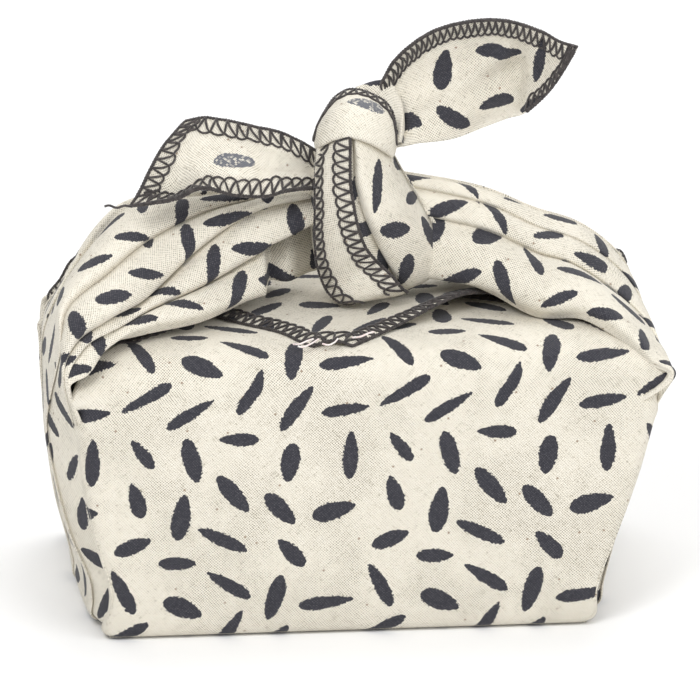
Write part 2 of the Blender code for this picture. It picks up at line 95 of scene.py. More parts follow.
TOP_COLUMNS = ("y", "z", "x_left", "x_right", "y_left", "z_left", "y_right", "z_right")
NEAR_CORNER = (
    (-50.9, 78.6, -86.2, 99.4, -49.6, 78.8, -47.4, 78.6),
    (-50, 83.4, -85.6, 101.6, -46.6, 82, -45.6, 82.4),
    (-47.6, 88, -82.6, 98, -39.5, 85.2, -43, 86),
    (-43.4, 91.2, -77, 93, -33.5, 88.8, -38, 89),
    (-37, 92.8, -70, 86, -27.5, 90.8, -31, 91),
    (-26, 93, -60, 76, -22, 92, -20, 92),
    (-8, 91.6, -44, 58, -6, 91.4, -4, 91.4),
    (10, 89.4, -28, 35, 12, 89.2, 12, 89.2),
    (22, 87.8, -16, 19, 23, 87.8, 23, 87.8),
    (33, 85, -1.5, 1.5, 33, 85, 33, 85),
)
FAR_CORNER = (
    (46.8, 78.6, -88.8, 92.4, 43, 78.6, 43, 78.6),
    (45.6, 83.4, -87, 91.2, 40, 82, 36.5, 84.2),
    (42, 87, -82, 89.6, 34, 88, 30, 89.6),
    (34, 90, -76, 84, 25, 93, 23.5, 94.8),
    (22, 92.4, -66, 73, 15, 94.8, 15, 96),
    (8, 93.6, -54, 60, 7, 93.2, 5, 94.2),
    (-4, 94.4, -42.3, 50, -7, 94.4, -7.5, 98),
    (-16, 94.8, -31.6, 36.6, -19, 94.9, -16, 100.6),
    (-28, 95.2, -20.3, 18.6, -29, 95.4, -28.4, 97),
    (-36, 94.9, -14.6, 7.2, -36.6, 95, -37, 95.2),
    (-40.4, 94.4, -10.8, 1.6, -40.2, 94.4, -41, 94.4),
)

WALL_ROWS = (3.4, 10.0, 18.0, 32.0, 50.0, 66.0)
PANEL_HEIGHTS = (1.0, *WALL_ROWS, 72.0)

# `wall` is where a line runs down the end wall, 0 front to 1 back, at each height of WALL_ROWS or at all
# of them, `proud` how far the pleat above it stands out at each station, and `tuck` how deep the fold
# behind it is.
LEFT_EAR = (
    # front edge
    {"wall": (0, 0, 0, 0.02, 0.06, 0.10), "tuck": 7,
     "at": ((-86.8, -48.6, 83.6), (-80.9, -46.2, 88.2), (-75.8, -37.6, 93.4), (-61, -31.5, 95.6),
            (-43.5, -26.5, 97.2), (-24.1, -13.5, 99.9), (-4, -5, 101)),
     "proud": (0.3, 2, 3.2, 4.4, 5.2, 5.4, 3)},
    # first crease
    {"wall": (0.05, 0.05, 0.05, 0.06, 0.09, 0.125), "tuck": 9,
     "at": ((-87.2, -49, 85.6), (-82.6, -44, 94.6), (-74.4, -36, 98.2), (-60.6, -24.5, 99.6),
            (-42.6, -15, 104.4), (-24.3, -8, 112.4), (-4, -5, 121)),
     "proud": (0.3, 1.6, 2.6, 4.6, 6, 5, 3)},
    # second crease
    {"wall": (0.10, 0.10, 0.09, 0.10, 0.12, 0.15), "tuck": 10,
     "at": ((-88.2, -48, 87.4), (-84, -42.6, 96.8), (-73.6, -35, 101.2), (-60.4, -21, 103.6),
            (-41.4, -9, 115.6), (-23.7, -4, 124.4), (-4, -3, 128)),
     "proud": (0.6, 3.6, 5.2, 5.8, 4, 3, 2)},
    # third crease
    {"wall": (0.22, 0.21, 0.20, 0.22, 0.26, 0.29), "tuck": 12,
     "at": ((-88.6, -40, 93), (-85.8, -32, 104.4), (-72.8, -21, 111), (-59.4, -10, 117.4),
            (-40.8, -2, 123.6), (-23.4, 0, 126.6), (-4, 0, 130)),
     "proud": (1, 3, 4, 3.4, 2.4, 2, 1)},
    # ridge
    {"wall": (0.50, 0.50, 0.50, 0.51, 0.52, 0.52), "tuck": 0,
     "at": ((-91.2, -4, 87), (-83, 0, 102), (-71, 4, 117.5), (-61.1, 6, 124),
            (-40.7, 7, 125.6), (-22.9, 6, 127), (-4, 4, 129)),
     "proud": (0.5, 2, 3, 3, 2.5, 2, 1)},
    # back slope
    {"wall": 0.78, "tuck": 10,
     "at": ((-89, 24, 83), (-80.5, 24, 94), (-73.5, 20, 105.5), (-61, 20, 111),
            (-42, 17, 114), (-24, 12, 118), (-4, 6, 123)),
     "proud": (0, 0.6, 1, 1, 1, 1, 0.5)},
    # back hem
    {"wall": 1, "tuck": 0,
     "at": ((-82, 44.6, 75), (-79.6, 37, 82.6), (-75.6, 30, 91.6), (-63, 26, 95.8),
            (-44, 21.5, 96.4), (-25, 14, 98.5), (-4, 5, 108)),
     "proud": None},
)

RIGHT_EAR = (
    # front edge
    {"wall": 0, "tuck": 7,
     "at": ((99.2, -49, 81.2), (93.3, -44.5, 85.6), (87.9, -39.5, 89.8), (74.8, -28, 94.6),
            (60.2, -22.5, 93.8), (42.5, -12, 99.9), (16, -2, 103)),
     "proud": (1.2, 2.4, 3.8, 5.8, 7.4, 6.6, 4)},
    # fold crease
    {"wall": 0.20, "tuck": 0,
     "at": ((98, -30, 82.5), (94.5, -14, 88.5), (84.5, -2, 95), (73, -1, 102.6),
            (62.3, -3, 107), (44.7, -3, 115.6), (13, 0, 123)),
     "proud": (0.8, 1.2, 1.6, 1.9, 2.3, 3, 3)},
    # upper crease
    {"wall": 0.45, "tuck": 0,
     "at": ((96, -2, 82.5), (94.6, 6, 89.6), (87, 9, 98.6), (75.5, 7, 107.5),
            (63, 5, 112.8), (44.5, 4, 122), (12, 2, 131)),
     "proud": (0.5, 0.8, 1.1, 1.2, 1.3, 1.8, 2)},
    # ridge
    {"wall": 0.72, "tuck": 0,
     "at": ((94, 22, 82.5), (93.4, 22, 91), (87.5, 20, 100), (76.5, 16, 109.6),
            (63, 13, 115.6), (44.5, 9, 125), (12, 4, 134)),
     "proud": (0.3, 0.6, 0.9, 1, 1, 1, 1)},
    # back hem
    {"wall": 1, "tuck": 0,
     "at": ((90.5, 45.3, 80.5), (91, 36, 88), (85.5, 29.5, 95), (76, 27, 97.5),
            (62, 24, 97), (44, 18, 98.5), (14, 6, 110)),
     "proud": None},
)

KNOT = (
    # left border
    {"tuck": 0,
     "at": ((-4.4, -7, 152), (-6.2, -10, 144), (-6.8, -11, 132), (-6.8, -11, 117),
            (-5.4, -10.5, 104), (-1.6, -9, 98.5), (3, -5, 95.6)),
     "proud": (0.6, 1.6, 2, 2, 1.8, 1.4, 0.6)},
    # band edge
    {"tuck": 0,
     "at": ((0.5, -12, 153), (0.5, -16, 145), (0.4, -18, 135), (2.2, -18.6, 121),
            (6.2, -15.6, 109), (12, -10.5, 100.5), (12, -6, 96)),
     "proud": (0.4, 1, 1.4, 1.8, 2.4, 2.2, 0.8)},
    # lobe fold
    {"tuck": 3,
     "at": ((4, -12, 153), (4.2, -16, 146.2), (4.4, -18.5, 138), (7, -19, 127.5),
            (12, -15.5, 115), (17, -11, 104.6), (20, -7, 98.4)),
     "proud": (1.6, 3.2, 4.4, 5.6, 6, 4.4, 1.6)},
    # lobe edge
    {"tuck": 3,
     "at": ((13.6, -6, 150), (17.6, -4, 141), (23, -3, 130.6), (28.6, -3, 120.6),
            (32.4, -3.5, 111.4), (33.8, -4, 104.4), (27, -3, 99.4)),
     "proud": (0.4, 0.6, 0.9, 1.4, 2, 2, 1)},
    # back right
    {"tuck": 3,
     "at": ((11, 7, 152), (13.5, 11, 143), (16, 13, 133), (18, 14, 121),
            (18, 13, 109), (16, 9, 100), (15, 3, 96)),
     "proud": (1, 2, 2.6, 3, 3, 2.4, 1)},
    # back left
    {"tuck": 3,
     "at": ((0, 7, 152), (-2, 11, 143), (-3, 13, 133), (-3, 13.5, 120),
            (-1, 12, 108), (2, 8, 99.5), (6, 2, 95.6)),
     "proud": (1, 2.4, 3.2, 3.4, 3.2, 2.4, 1)},
)

# Each row of these sheets runs across them, and the rows follow one another from the knot outwards.
LEFT_TAIL = (
    ((-1.2, -10, 133.7), (-0.9, -7, 133.6), (-0.8, -6, 135.5), (-0.7, -4, 136.8), (-0.6, -3, 138.4)),
    ((-14.9, -13, 134), (-14.9, -9.5, 134.3), (-15.1, -8, 138.8), (-15.4, -4, 142), (-15.5, -1, 147.7)),
    ((-23.2, -14, 132.8), (-23.4, -12.5, 137.9), (-23.7, -9, 140.8), (-24.1, -3, 143.9), (-24.7, 1, 149.9)),
    ((-33.3, -15, 134), (-34.2, -14, 138.9), (-34.4, -9, 142.2), (-33.7, -2, 145.8), (-32.6, 3.5, 151.1)),
    ((-43.2, -16.5, 136.8), (-44, -12, 136.3), (-43.8, -9, 140.8), (-41.2, -1, 146.4), (-37.6, 4.5, 151.7)),
    ((-51.6, -16.5, 133.4), (-51.5, -11.5, 132.6), (-51, -9, 137.7), (-47.2, -1.5, 146.1), (-41.3, 5, 152)),
    ((-65, -15.5, 131.3), (-62, -13, 135.2), (-58.2, -9.5, 141.5), (-53.6, -3.5, 146.7), (-46.7, 3.5, 151.5)),
)
RIGHT_TAIL = (
    ((14.8, -3, 143.2), (15.5, 2, 146.3), (15.4, 4, 151.3), (15.1, 4, 157.3), (14.2, 4, 161.3)),
    ((24.2, -3, 144.3), (23.9, 4, 151), (22.6, 7, 159.2), (21.5, 6, 167.7), (19.6, 5, 169.8)),
    ((33.8, -5, 147.6), (34, 5, 153.6), (32.8, 9, 162.2), (31, 6.5, 173.9), (29.9, 5, 177.7)),
    ((44, -6, 150.6), (44.3, 4.5, 156.1), (44.1, 9, 164.5), (42.9, 6.5, 176.2), (41.8, 5, 181)),
    ((52.4, -7, 153.7), (53.5, 2, 158.4), (53.9, 6.5, 165.8), (53.5, 5, 176.4), (53.1, 4, 181.3)),
    ((59.9, -7.5, 157.2), (61.9, -2, 161.4), (63.3, 2.5, 166.3), (63.6, 2.5, 172.6), (63.6, 2.5, 178.2)),
    ((67.3, -5, 163.3), (68.1, -3.5, 166.1), (68.8, -2.2, 168.9), (69.2, -1, 171.5), (69.4, 0.5, 175.4)),
    ((74, -2.4, 172.8), (74.3, -2.3, 173.5), (74.5, -2.2, 173.7), (74.7, -2.1, 174), (74.8, -2, 174.3)),
)
# The hemmed strip down the front of the knot, from its left hem to its right one.
BAND = (
    ((-5.2, -9, 147.5), (-3.3, -13, 149.3), (-0.7, -15.5, 150.9), (1.4, -16.5, 151.9), (2.9, -17, 152.3)),
    ((-6.9, -10.5, 142.5), (-5.1, -15, 144.1), (-1.6, -18, 145.5), (0.8, -19, 146.1), (2.7, -19.3, 146.5)),
    ((-7.5, -12.5, 134.2), (-5.6, -17, 135.9), (-1.8, -20, 137.2), (0.7, -20.6, 138.1), (2.7, -20.8, 138.4)),
    ((-7.6, -13, 126.1), (-5, -18, 127.9), (-0.9, -21, 129.9), (1.6, -21.5, 131), (3.6, -21.6, 131.7)),
    ((-7.6, -13, 117.7), (-4.7, -18, 119.8), (0, -21, 122.5), (2.8, -21.4, 123.6), (5, -21.2, 124.4)),
    ((-7.1, -12.5, 110.1), (-3.7, -17, 112.4), (1.4, -19.6, 114.9), (4.8, -20, 116.3), (7.4, -19.6, 117)),
    ((-5.1, -12, 102.8), (-1.7, -15.5, 105.1), (3.8, -17.4, 107.6), (8.2, -17.4, 109.5),
     (11.4, -16.8, 110.8)),
    ((-2.5, -14, 98.8), (1.3, -17, 101.1), (7.1, -18.4, 103.8), (12.5, -18.2, 105.6), (15.7, -17.4, 106.5)),
    ((1.2, -15, 96.7), (5.4, -17.5, 98.2), (10.9, -18.5, 100.4), (15.7, -18, 101.8), (18.8, -17.4, 102.4)),
    ((4, -12, 96), (8.2, -14, 96.8), (13.4, -15, 97.9), (18.2, -14.6, 98.6), (21, -14, 99.3)),
)
# The white dome over the knot, from its left end to its right: turned under, lower edge, crown, hem.
HOOD = (
    ((-5.6, -7, 145.5), (-7, -9.5, 147), (-6.9, -7, 148.5), (-6.2, -4.5, 149)),
    ((-4, -9, 147.8), (-5.6, -13, 149.2), (-5.4, -8.5, 153.4), (-4.3, -2, 153)),
    ((-1, -10, 150), (-1.8, -15.5, 152), (-1, -9.5, 158.2), (0, 2, 158)),
    ((4, -10.5, 151), (3.6, -16.8, 153), (4.8, -9.8, 160), (5, 3, 160.3)),
    ((9.5, -10, 149), (9.6, -16, 150.6), (10.8, -9, 158), (11, 2.5, 158.8)),
    ((14, -8, 144.5), (14.8, -12.5, 146.3), (16, -7.5, 152.6), (16.4, 1, 155)),
    ((16, -6, 142), (17, -8, 142.7), (18.1, -5.5, 145.2), (18.4, -3, 147.5)),
)
# The fold that comes out behind the dome and goes down its right: inner edge, crest, outer edge.
COLLAR = (
    ((6.5, 1.5, 156.5), (6.8, 6, 160.5), (7, 10, 155)),
    ((12.5, 2, 157.4), (13.1, 6, 162.4), (13.5, 10.5, 156)),
    ((16.4, 1, 155.4), (17.6, 5.5, 161.8), (18.6, 9.5, 155)),
    ((18.3, -0.5, 152.6), (20.5, 3, 156.8), (21.5, 7.5, 151)),
    ((18.6, -2.5, 148.8), (20.9, -1, 152), (22, 4, 147)),
    ((18.2, -5, 145.6), (19.9, -4.5, 145.6), (21.5, 0, 143)),
)

# Soft ridges and hollows: the two (x, z) ends of each, its half width and its height along the normals.
RIGHT_TAIL_RELIEF = (
    (25.2, 148.4, 53.2, 169.7, 3.2, -2.4),
    (28.8, 143.6, 56.8, 164.9, 3.2, 2),
    (55.5, 158, 56.5, 171, 2.6, 2.2),
)
LEFT_TAIL_RELIEF = (
    (-4, 137.2, -24, 140.2, 2.2, -1.8),
    (-4, 142, -26, 144.6, 2.6, 1.6),
)
KNOT_TOP_SHARE, KNOT_TOP_RISE = 0.15, 4.5      # how the knot closes on top, under the dome
# How much further than its inset an end wall bulges, and how the bulge is spread from front to back.
WALL_SWELL, SWELL_SPREAD, SWELL_START, SWELL_CURVE = 1.2, 1.5, 0.25, 0.8
SHOULDER = 6.2              # how far the left end bulges near its front corner
SHOULDER_HEIGHTS, SHOULDER_START, SHOULDER_END = (-9.0, 40.0), (0.13, 0.24), (0.27, 0.75)
# By side, the ears' back hems turned outwards: how wide, which way and how fully. Then the heights over
# which this begins and ends.
HEM_TURNED = {-1: (5.6, (-0.70, 0.0, 0.71), 0.85), 1: (5.0, (0.70, 0.0, 0.71), 0.55)}
HEM_TURNED_FROM, HEM_TURNED_TO = (68.0, 75.0), (91.0, 96.0)
FLAP_FIRST_ROW = 54         # the back panel's first row with an overlocked hem
FLAP_DROOP, FLAP_DROOP_WIDTH, FLAP_DROOP_CURVE = 1.8, 5.6, 1.4
FLAP_DROOP_ROWS = (50, 57)  # the rows over which its hems begin to droop
# The hollow left of the knot: where it starts, over what way it gets deep, its depth and how many pleats
# it fades over, and then the fold that bulges in it.
HOLLOW_X, HOLLOW_EDGE, HOLLOW_DEPTH, HOLLOW_PLEATS = -23.5, 2.6, 13.0, 1.1
HOLLOW_BULGE, HOLLOW_BULGE_X, HOLLOW_BULGE_WIDTH = 5.0, 8.5, 4.5

# The fold tucked in behind a pleat, and the first pleat's edge turned under: how far in and how far out.
TUCK_SHAPE = (
    (0.08, -0.9), (0.5, -1.3), (0.94, -1.5), (1.0, -1.15), (0.94, -0.8), (0.5, -0.6), (0.06, -0.35),
)
TURNED_UNDER = ((0.95, -1.0), (0.6, -1.3), (0.3, -1.5), (0.1, -1.35), (0.0, -0.9), (-0.03, -0.4))
TUCK_SHARE = 0.7            # a tuck is no deeper than this share of its pleat's width
TUCKS_OPEN = (5.6, 8.4)     # the stations between which an ear's tucks open, above its base
# A pleat in section: how far along from its lower crease to the next, and how far out, both 0 to 1.
PLEAT_SHAPE = ((0.0, 0.0), (-0.03, 0.55), (0.04, 0.88), (0.24, 1.0), (0.62, 0.82), (1.0, 0.0))
PLEAT_END = 0.998           # a pleat stops this far along, just before the next one's first point
CLOSING_GAP = 0.5           # on the flat cloth, from the knot's last pleat to its first one again

# ---------------- how finely each form is divided

PANEL_ROWS = 92
# The columns across a panel, 0 to 1, closest together where it folds round its two ends.
PANEL_END = np.array(
    (0.0, 1.5, 2.6, 3.2, 3.6, 3.95, 4.3, 4.7, 5.2, 6.2, 7.4, 8.6, 9.8, 11.0, 12.4, 14.0)
) / 200
PANEL_SHARES = np.concatenate([PANEL_END, np.linspace(0.08, 0.92, 46), 1 - PANEL_END[::-1]])
ARC_POINTS = 13
EAR_PLEAT_COLUMNS = 13
# Rows along an ear, from its foot to the knot, closest together where the lowest pleat folds in.
EAR_ROWS = np.concatenate([
    np.linspace(0.0, 11.9, 77), np.linspace(11.96, 12.4, 14), np.linspace(12.46, 13.0, 7),
])
KNOT_PLEAT_COLUMNS, KNOT_ROWS = 14, 50
TAIL_COLUMNS, TAIL_ROWS = 33, 48
BASE_RING_HEIGHTS = (0.42, 0.15, 0.0)
BASE_SHARES, BASE_COLUMNS = np.linspace(0.04, 0.96, 24), 40
# The easing of places on the flat cloth: its rounds, and how much of the pull and of the last move each
# round takes.
EASING_ROUNDS, EASING_STEP, EASING_CARRY = 500, 0.2, 0.85


# ---------------- curves

def curve_through(points, at):
    """The smooth curve through `points`. `at` is how many points to make, or their places: 0 is the
    first of `points`, 1 the second and so on."""
    points = np.asarray(points, float)
    at = np.linspace(0.0, len(points) - 1.0, at) if np.isscalar(at) else np.asarray(at)
    start = np.minimum(at.astype(int), len(points) - 2)
    step = (at - start).reshape((-1,) + (1,) * (points.ndim - 1))
    ended = np.concatenate([[2 * points[0] - points[1]], points, [2 * points[-1] - points[-2]]])
    before, first, second, after = (ended[start + k] for k in range(4))
    return 0.5 * (
        2 * first
        + (second - before) * step
        + (2 * before - 5 * first + 4 * second - after) * step**2
        + (3 * first - before - 3 * second + after) * step**3
    )


def lengths(points, axis=0):
    """The way along `points` to each of them."""
    steps = np.linalg.norm(np.diff(points, axis=axis), axis=-1)
    start = np.zeros_like(np.take(steps, [0], axis=axis))
    return np.cumsum(np.concatenate([start, steps], axis=axis), axis=axis)


def smooth(low, high, value):
    """0 below `low`, 1 above `high` and smooth between."""
    t = np.clip((value - low) / (high - low), 0.0, 1.0)
    return t * t * (3 - 2 * t)


def unit(vectors):
    return vectors / (np.linalg.norm(vectors, axis=-1, keepdims=True) + 1e-9)


def at_ways(wanted, run, row):
    """The points or vectors of `row` at the ways `wanted` along it. `run` has the way to each."""
    return np.stack([np.interp(wanted, run, row[:, k]) for k in range(row.shape[1])], axis=1)


def above_base(grid):
    return np.dstack([grid[:, :, :2], np.maximum(grid[:, :, 2:], WALL_LOW_Z)])


def plan_at(z):
    """The corners of the wrap's outline at height z, with its lower edge turned in."""
    heights, *columns = np.transpose(PLAN)
    plan = {name: np.interp(z, heights, column) for name, column in zip(PLAN_COLUMNS[1:], columns)}
    turn = max(0.0, LOW_EDGE_RADIUS - z)
    inset = LOW_EDGE_RADIUS - np.sqrt(LOW_EDGE_RADIUS**2 - turn**2)
    corners = {}
    for end, inward in (("front", 1), ("back", -1)):
        for side, across in (("left", 1), ("right", -1)):
            name = f"{end}_{side}"
            corners[name] = np.array([plan[name] + across * inset, plan[end] + inward * inset])
    return corners


def rounded_path(corners, radii, shares):
    """Points at `shares` of the way along a path of straight runs joined by arcs."""
    path = [corners[0]]
    for before, corner, after, radius in zip(corners, corners[1:], corners[2:], radii):
        into = (before - corner) / np.linalg.norm(before - corner)
        out = (after - corner) / np.linalg.norm(after - corner)
        for share in np.linspace(0.0, 1.0, ARC_POINTS):
            path.append(corner + into * radius * (1 - share) ** 2 + out * radius * share**2)
    path.append(corners[-1])
    path = np.array(path)
    run = lengths(path)
    return at_ways(np.asarray(shares) * run[-1], run, path)


# ---------------- sheets of cloth

def grid_normals(grid):
    """The directions that the print side of a sheet faces."""
    return unit(np.cross(np.gradient(grid, axis=1), np.gradient(grid, axis=0)))


def flat_place(grid, x, y, turn):
    """Where a plain sheet lies on the flat cloth: across from its middle column and up it, then turned
    by `turn` degrees and moved to (x, y)."""
    across = lengths(grid, axis=1)
    middle = grid.shape[1] // 2
    across = across - across[:, middle : middle + 1]
    up = lengths(grid[:, middle])[:, None] * np.ones_like(across)
    cos, sin = np.cos(np.radians(turn)), np.sin(np.radians(turn))
    return np.stack([across * cos - up * sin + x, across * sin + up * cos + y], axis=2)


def with_relief(grid, ridges):
    """The grid with soft ridges and hollows added along its normals."""
    rise = np.zeros(grid.shape[:2])
    for start_x, start_z, end_x, end_z, half_width, height in ridges:
        start, run = np.array([start_x, start_z]), np.array([end_x - start_x, end_z - start_z])
        away = grid[:, :, (0, 2)] - start
        along = np.clip((away @ run) / (run @ run), 0.0, 1.0)
        gap = np.linalg.norm(away - along[:, :, None] * run, axis=2)
        rise += height * np.exp(-((gap / half_width) ** 2))
    return grid + grid_normals(grid) * rise[:, :, None]


# ---------------- panels over the front and the back

def panel_row(z, front, turn_in=0.0):
    """One level row of a panel, from the fold at its left corner round to the fold at its right one."""
    plan = plan_at(z)
    end = "front" if front else "back"
    fold = {name: np.interp(z, FOLD_HEIGHTS, values) for name, values in FOLD_AT.items()}
    inward, across = np.array([0.0, 1.0 if front else -1.0]), np.array([1.0, 0.0])
    in_from_side = across * (turn_in + fold["set_in"])
    reach, turn = fold["reach"], fold["radius"]

    def folded(corner, way):
        """The corners of the path round one end, from the panel's own corner to the cloth's end."""
        under = corner + way * FOLD_GAP
        turned = [corner + inward * reach, under + inward * reach]
        return [corner, *turned, under + inward * (reach - FOLD_BACK)]

    left = folded(plan[end + "_left"] + inward * turn_in + in_from_side, across)
    right = folded(plan[end + "_right"] + inward * turn_in - in_from_side, -across)
    radii = (FOLD_TURN, FOLD_TURN, turn, turn, FOLD_TURN, FOLD_TURN)
    flat = rounded_path(left[::-1] + right, radii, PANEL_SHARES)
    return np.column_stack([flat, np.full(len(flat), z)])


def top_row(row):
    """One row over the top, bowed from its middle to its two hems."""
    row = dict(zip(TOP_COLUMNS, row))
    across = PANEL_SHARES * 2 - 1
    bow = np.abs(across) ** 3
    x = np.interp(across, (-1, 1), (row["x_left"], row["x_right"]))
    y, z = (
        row[k] + bow * (np.where(across < 0, row[k + "_left"], row[k + "_right"]) - row[k]) for k in "yz"
    )
    return np.column_stack([x, y, z])


def panel(front):
    rows = [panel_row(WALL_LOW_Z, front, turn_in) for turn_in in (BASE_TURN, BASE_EDGE_TURN)]
    rows += [panel_row(z, front) for z in PANEL_HEIGHTS]
    rows += [top_row(row) for row in (NEAR_CORNER if front else FAR_CORNER)]
    grid = above_base(curve_through(rows, PANEL_ROWS))
    return grid if front else drooping(grid)


def to_edge(grid):
    """The way from each point of a sheet to the last edge of its row."""
    return lengths(grid[:, ::-1], axis=1)[:, ::-1]


def drooping(grid):
    """The flap's hems bent down a little along both of its sides."""
    fade = smooth(*FLAP_DROOP_ROWS, np.arange(len(grid)))[:, None]
    for sheet in (grid, grid[:, ::-1]):
        gap = np.clip(1 - to_edge(sheet) / FLAP_DROOP_WIDTH, 0.0, 1.0)
        sheet[:, :, 2] -= FLAP_DROOP * gap**FLAP_DROOP_CURVE * fade
    return grid


# ---------------- end walls and ears

def wall_point(z, share, side, turn_in=0.0):
    """A point on an end wall, `share` of the way from its front edge to its back edge."""
    plan = plan_at(z)
    name = "left" if side < 0 else "right"
    inward = np.array([-side, 0.0])
    inset = TUCK_INSET + turn_in
    front = plan["front_" + name] + inward * inset + (0.0, inset)
    back = plan["back_" + name] + inward * inset - (0.0, inset)
    corners = [front + inward * TUCK_REACH, front, back, back + inward * TUCK_REACH]
    flat = rounded_path(corners, (CORNER_RADIUS - TUCK_INSET,) * 2, [share])[0]
    spread = np.clip(share * SWELL_SPREAD - SWELL_START, 0, 1)
    swell = (TUCK_INSET + WALL_SWELL) * np.sin(np.pi * spread) ** SWELL_CURVE
    if side < 0:
        bulge = SHOULDER * smooth(*SHOULDER_HEIGHTS, z) * smooth(*SHOULDER_START, share)
        swell += bulge * (1 - smooth(*SHOULDER_END, share))
    return np.array([flat[0] + side * swell, flat[1], z])


def ear_lines(ear, side):
    """Each line of an ear as points from the base up its end wall and on to the knot."""
    lines = []
    for line in ear:
        shares = np.broadcast_to(line["wall"], len(WALL_ROWS))
        wall = [wall_point(WALL_LOW_Z, shares[0], side, BASE_TURN)]
        wall += [wall_point(z, share, side) for z, share in zip(WALL_ROWS, shares)]
        lines.append(wall + [np.array(point) for point in line["at"]])
    return curve_through(np.transpose(np.array(lines), (1, 0, 2)), EAR_ROWS)


def proud_heights(form, below, rows):
    """How far each pleat stands out at every row. Its first value also holds for `below` stations
    before the table's own."""
    tables = [line["proud"] for line in form if line["proud"] is not None]
    full = [[table[0]] * below + list(table) for table in tables]
    return curve_through(np.array(full).T, rows)


def eased(grid, place):
    """The place of part of a sheet on the flat cloth, moved until its lengths are the sheet's own."""

    def ends(field, down, right):
        """The field at the first end of each link, and at the other, so many rows and columns on."""
        rows, columns = field.shape[:2]
        near = field[: rows - down, max(0, -right) : columns - max(0, right)]
        return near, field[down:, max(0, right) : columns - max(0, -right)]

    links = ((0, 1), (1, 0), (1, 1), (1, -1))
    wanted = [np.linalg.norm(np.subtract(*ends(grid, *link)), axis=2) for link in links]
    moving = np.zeros_like(place)
    for _ in range(EASING_ROUNDS):
        pull = np.zeros_like(place)
        for link, length in zip(links, wanted):
            near, far = ends(place, *link)
            apart = far - near
            change = apart * (0.5 - 0.5 * length / (np.linalg.norm(apart, axis=2) + 1e-6))[:, :, None]
            pull_near, pull_far = ends(pull, *link)
            pull_near += change
            pull_far -= change
        moving = EASING_CARRY * moving + EASING_STEP * pull
        place = place + moving
    return place


def pleated(lines, proud, tucks, columns, outward, closed=False, fade=1.0):
    """A sheet through the lines whose pleats bulge outward between each line and the next, and lap over
    the one before with a fold tucked in behind. It returns the grid and its place on the flat cloth."""
    shape = curve_through(PLEAT_SHAPE, columns + 1)
    shape[-1, 0] = PLEAT_END
    open_tuck = np.reshape(fade, (-1, 1))
    ahead = np.gradient(lines, axis=0)
    along_lines = lengths(lines)
    count = lines.shape[1]
    grid, across, along, parts = [], [], [], []
    for k in range(count if closed else count - 1):
        after = (k + 1) % count
        start, span = lines[:, k], lines[:, after] - lines[:, k]
        width = np.linalg.norm(span, axis=1, keepdims=True)
        normal = unit(np.cross(ahead[:, k] + ahead[:, after], span) * outward)
        over = unit(span)
        depth = np.minimum(tucks[k], TUCK_SHARE * width) * open_tuck
        tuck = TURNED_UNDER if k == 0 and not closed else TUCK_SHAPE
        if tucks[k]:
            hidden = [start + over * depth * share + normal * out * open_tuck for share, out in tuck]
            run = lengths(np.array(hidden + [start]))
            grid += hidden
            across += list(PRINT_REPEAT * k + run[:-1] - run[-1])
            along += [along_lines[:, k]] * len(hidden)
        top = [start + span * share + normal * out * proud[:, k : k + 1] for share, out in shape]
        parts.append((len(grid), len(grid) + len(top)))
        grid += top
        across += list(PRINT_REPEAT * k + lengths(np.array(top)))
        along += [along_lines[:, k] * (1 - share) + along_lines[:, after] * share for share, _ in shape]
    if closed:
        grid.append(grid[0])
        across.append(across[-1] + CLOSING_GAP)
        along.append(along[0])
    grid = np.transpose(np.array(grid), (1, 0, 2))
    place = np.stack([np.array(across).T, np.array(along).T], axis=2)
    for first, last in parts:
        place[:, first:last] = eased(grid[:, first:last], place[:, first:last])
    return grid, place


def ear(table, side):
    lines = ear_lines(table, side)
    proud = proud_heights(table, len(WALL_ROWS) + 1, EAR_ROWS)
    tucks = [line["tuck"] for line in table]
    fade = smooth(*TUCKS_OPEN, EAR_ROWS)
    grid, place = pleated(lines, proud, tucks, EAR_PLEAT_COLUMNS, -side, fade=fade)
    grid = hem_flare(grid, side)
    if side < 0:
        grid = folded_in(grid)
    return above_base(grid), place


def hem_flare(grid, side):
    """The cloth along the back hem turned outwards over the shoulder, so that its hem faces forward."""
    width, way, share = HEM_TURNED[side]
    left = to_edge(grid)
    root = np.array([at_ways([-width], -run, row)[0] for run, row in zip(left, grid)])
    turned = root[:, None] + np.array(way) * (width - left)[:, :, None]
    height = grid[:, -1:, 2]
    weight = share * smooth(*HEM_TURNED_FROM, height) * (1 - smooth(*HEM_TURNED_TO, height))
    return grid + (turned - grid) * (weight * (left < width))[:, :, None]


def folded_in(grid):
    """The lowest pleat of the left ear turned in before the knot, with the hollow that this leaves."""
    first = EAR_PLEAT_COLUMNS + len(TURNED_UNDER)
    column = (np.arange(grid.shape[1]) - first) / (HOLLOW_PLEATS * EAR_PLEAT_COLUMNS)
    low = 1.0 - smooth(0.0, 1.0, column)
    x = grid[:, :, 0]
    depth = HOLLOW_DEPTH * smooth(HOLLOW_X, HOLLOW_X + HOLLOW_EDGE, x)
    bulge = HOLLOW_BULGE * np.exp(-(((x - HOLLOW_X - HOLLOW_BULGE_X) / HOLLOW_BULGE_WIDTH) ** 2))
    grid = grid.copy()
    grid[:, :, 1] += (depth - bulge) * low * (x > HOLLOW_X)
    return grid


# ---------------- knot and tails

def knot():
    """The knot's body, closed at its top under the white dome."""
    lines = np.transpose(np.array([line["at"] for line in KNOT]), (1, 0, 2))
    top = lines[0].mean(axis=0)
    closed = top + (lines[0] - top) * KNOT_TOP_SHARE + (0.0, 0.0, KNOT_TOP_RISE)
    lines = curve_through(np.concatenate([[closed], lines]), KNOT_ROWS)
    proud = proud_heights(KNOT, 1, KNOT_ROWS)
    return pleated(lines, proud, [line["tuck"] for line in KNOT], KNOT_PLEAT_COLUMNS, 1.0, closed=True)


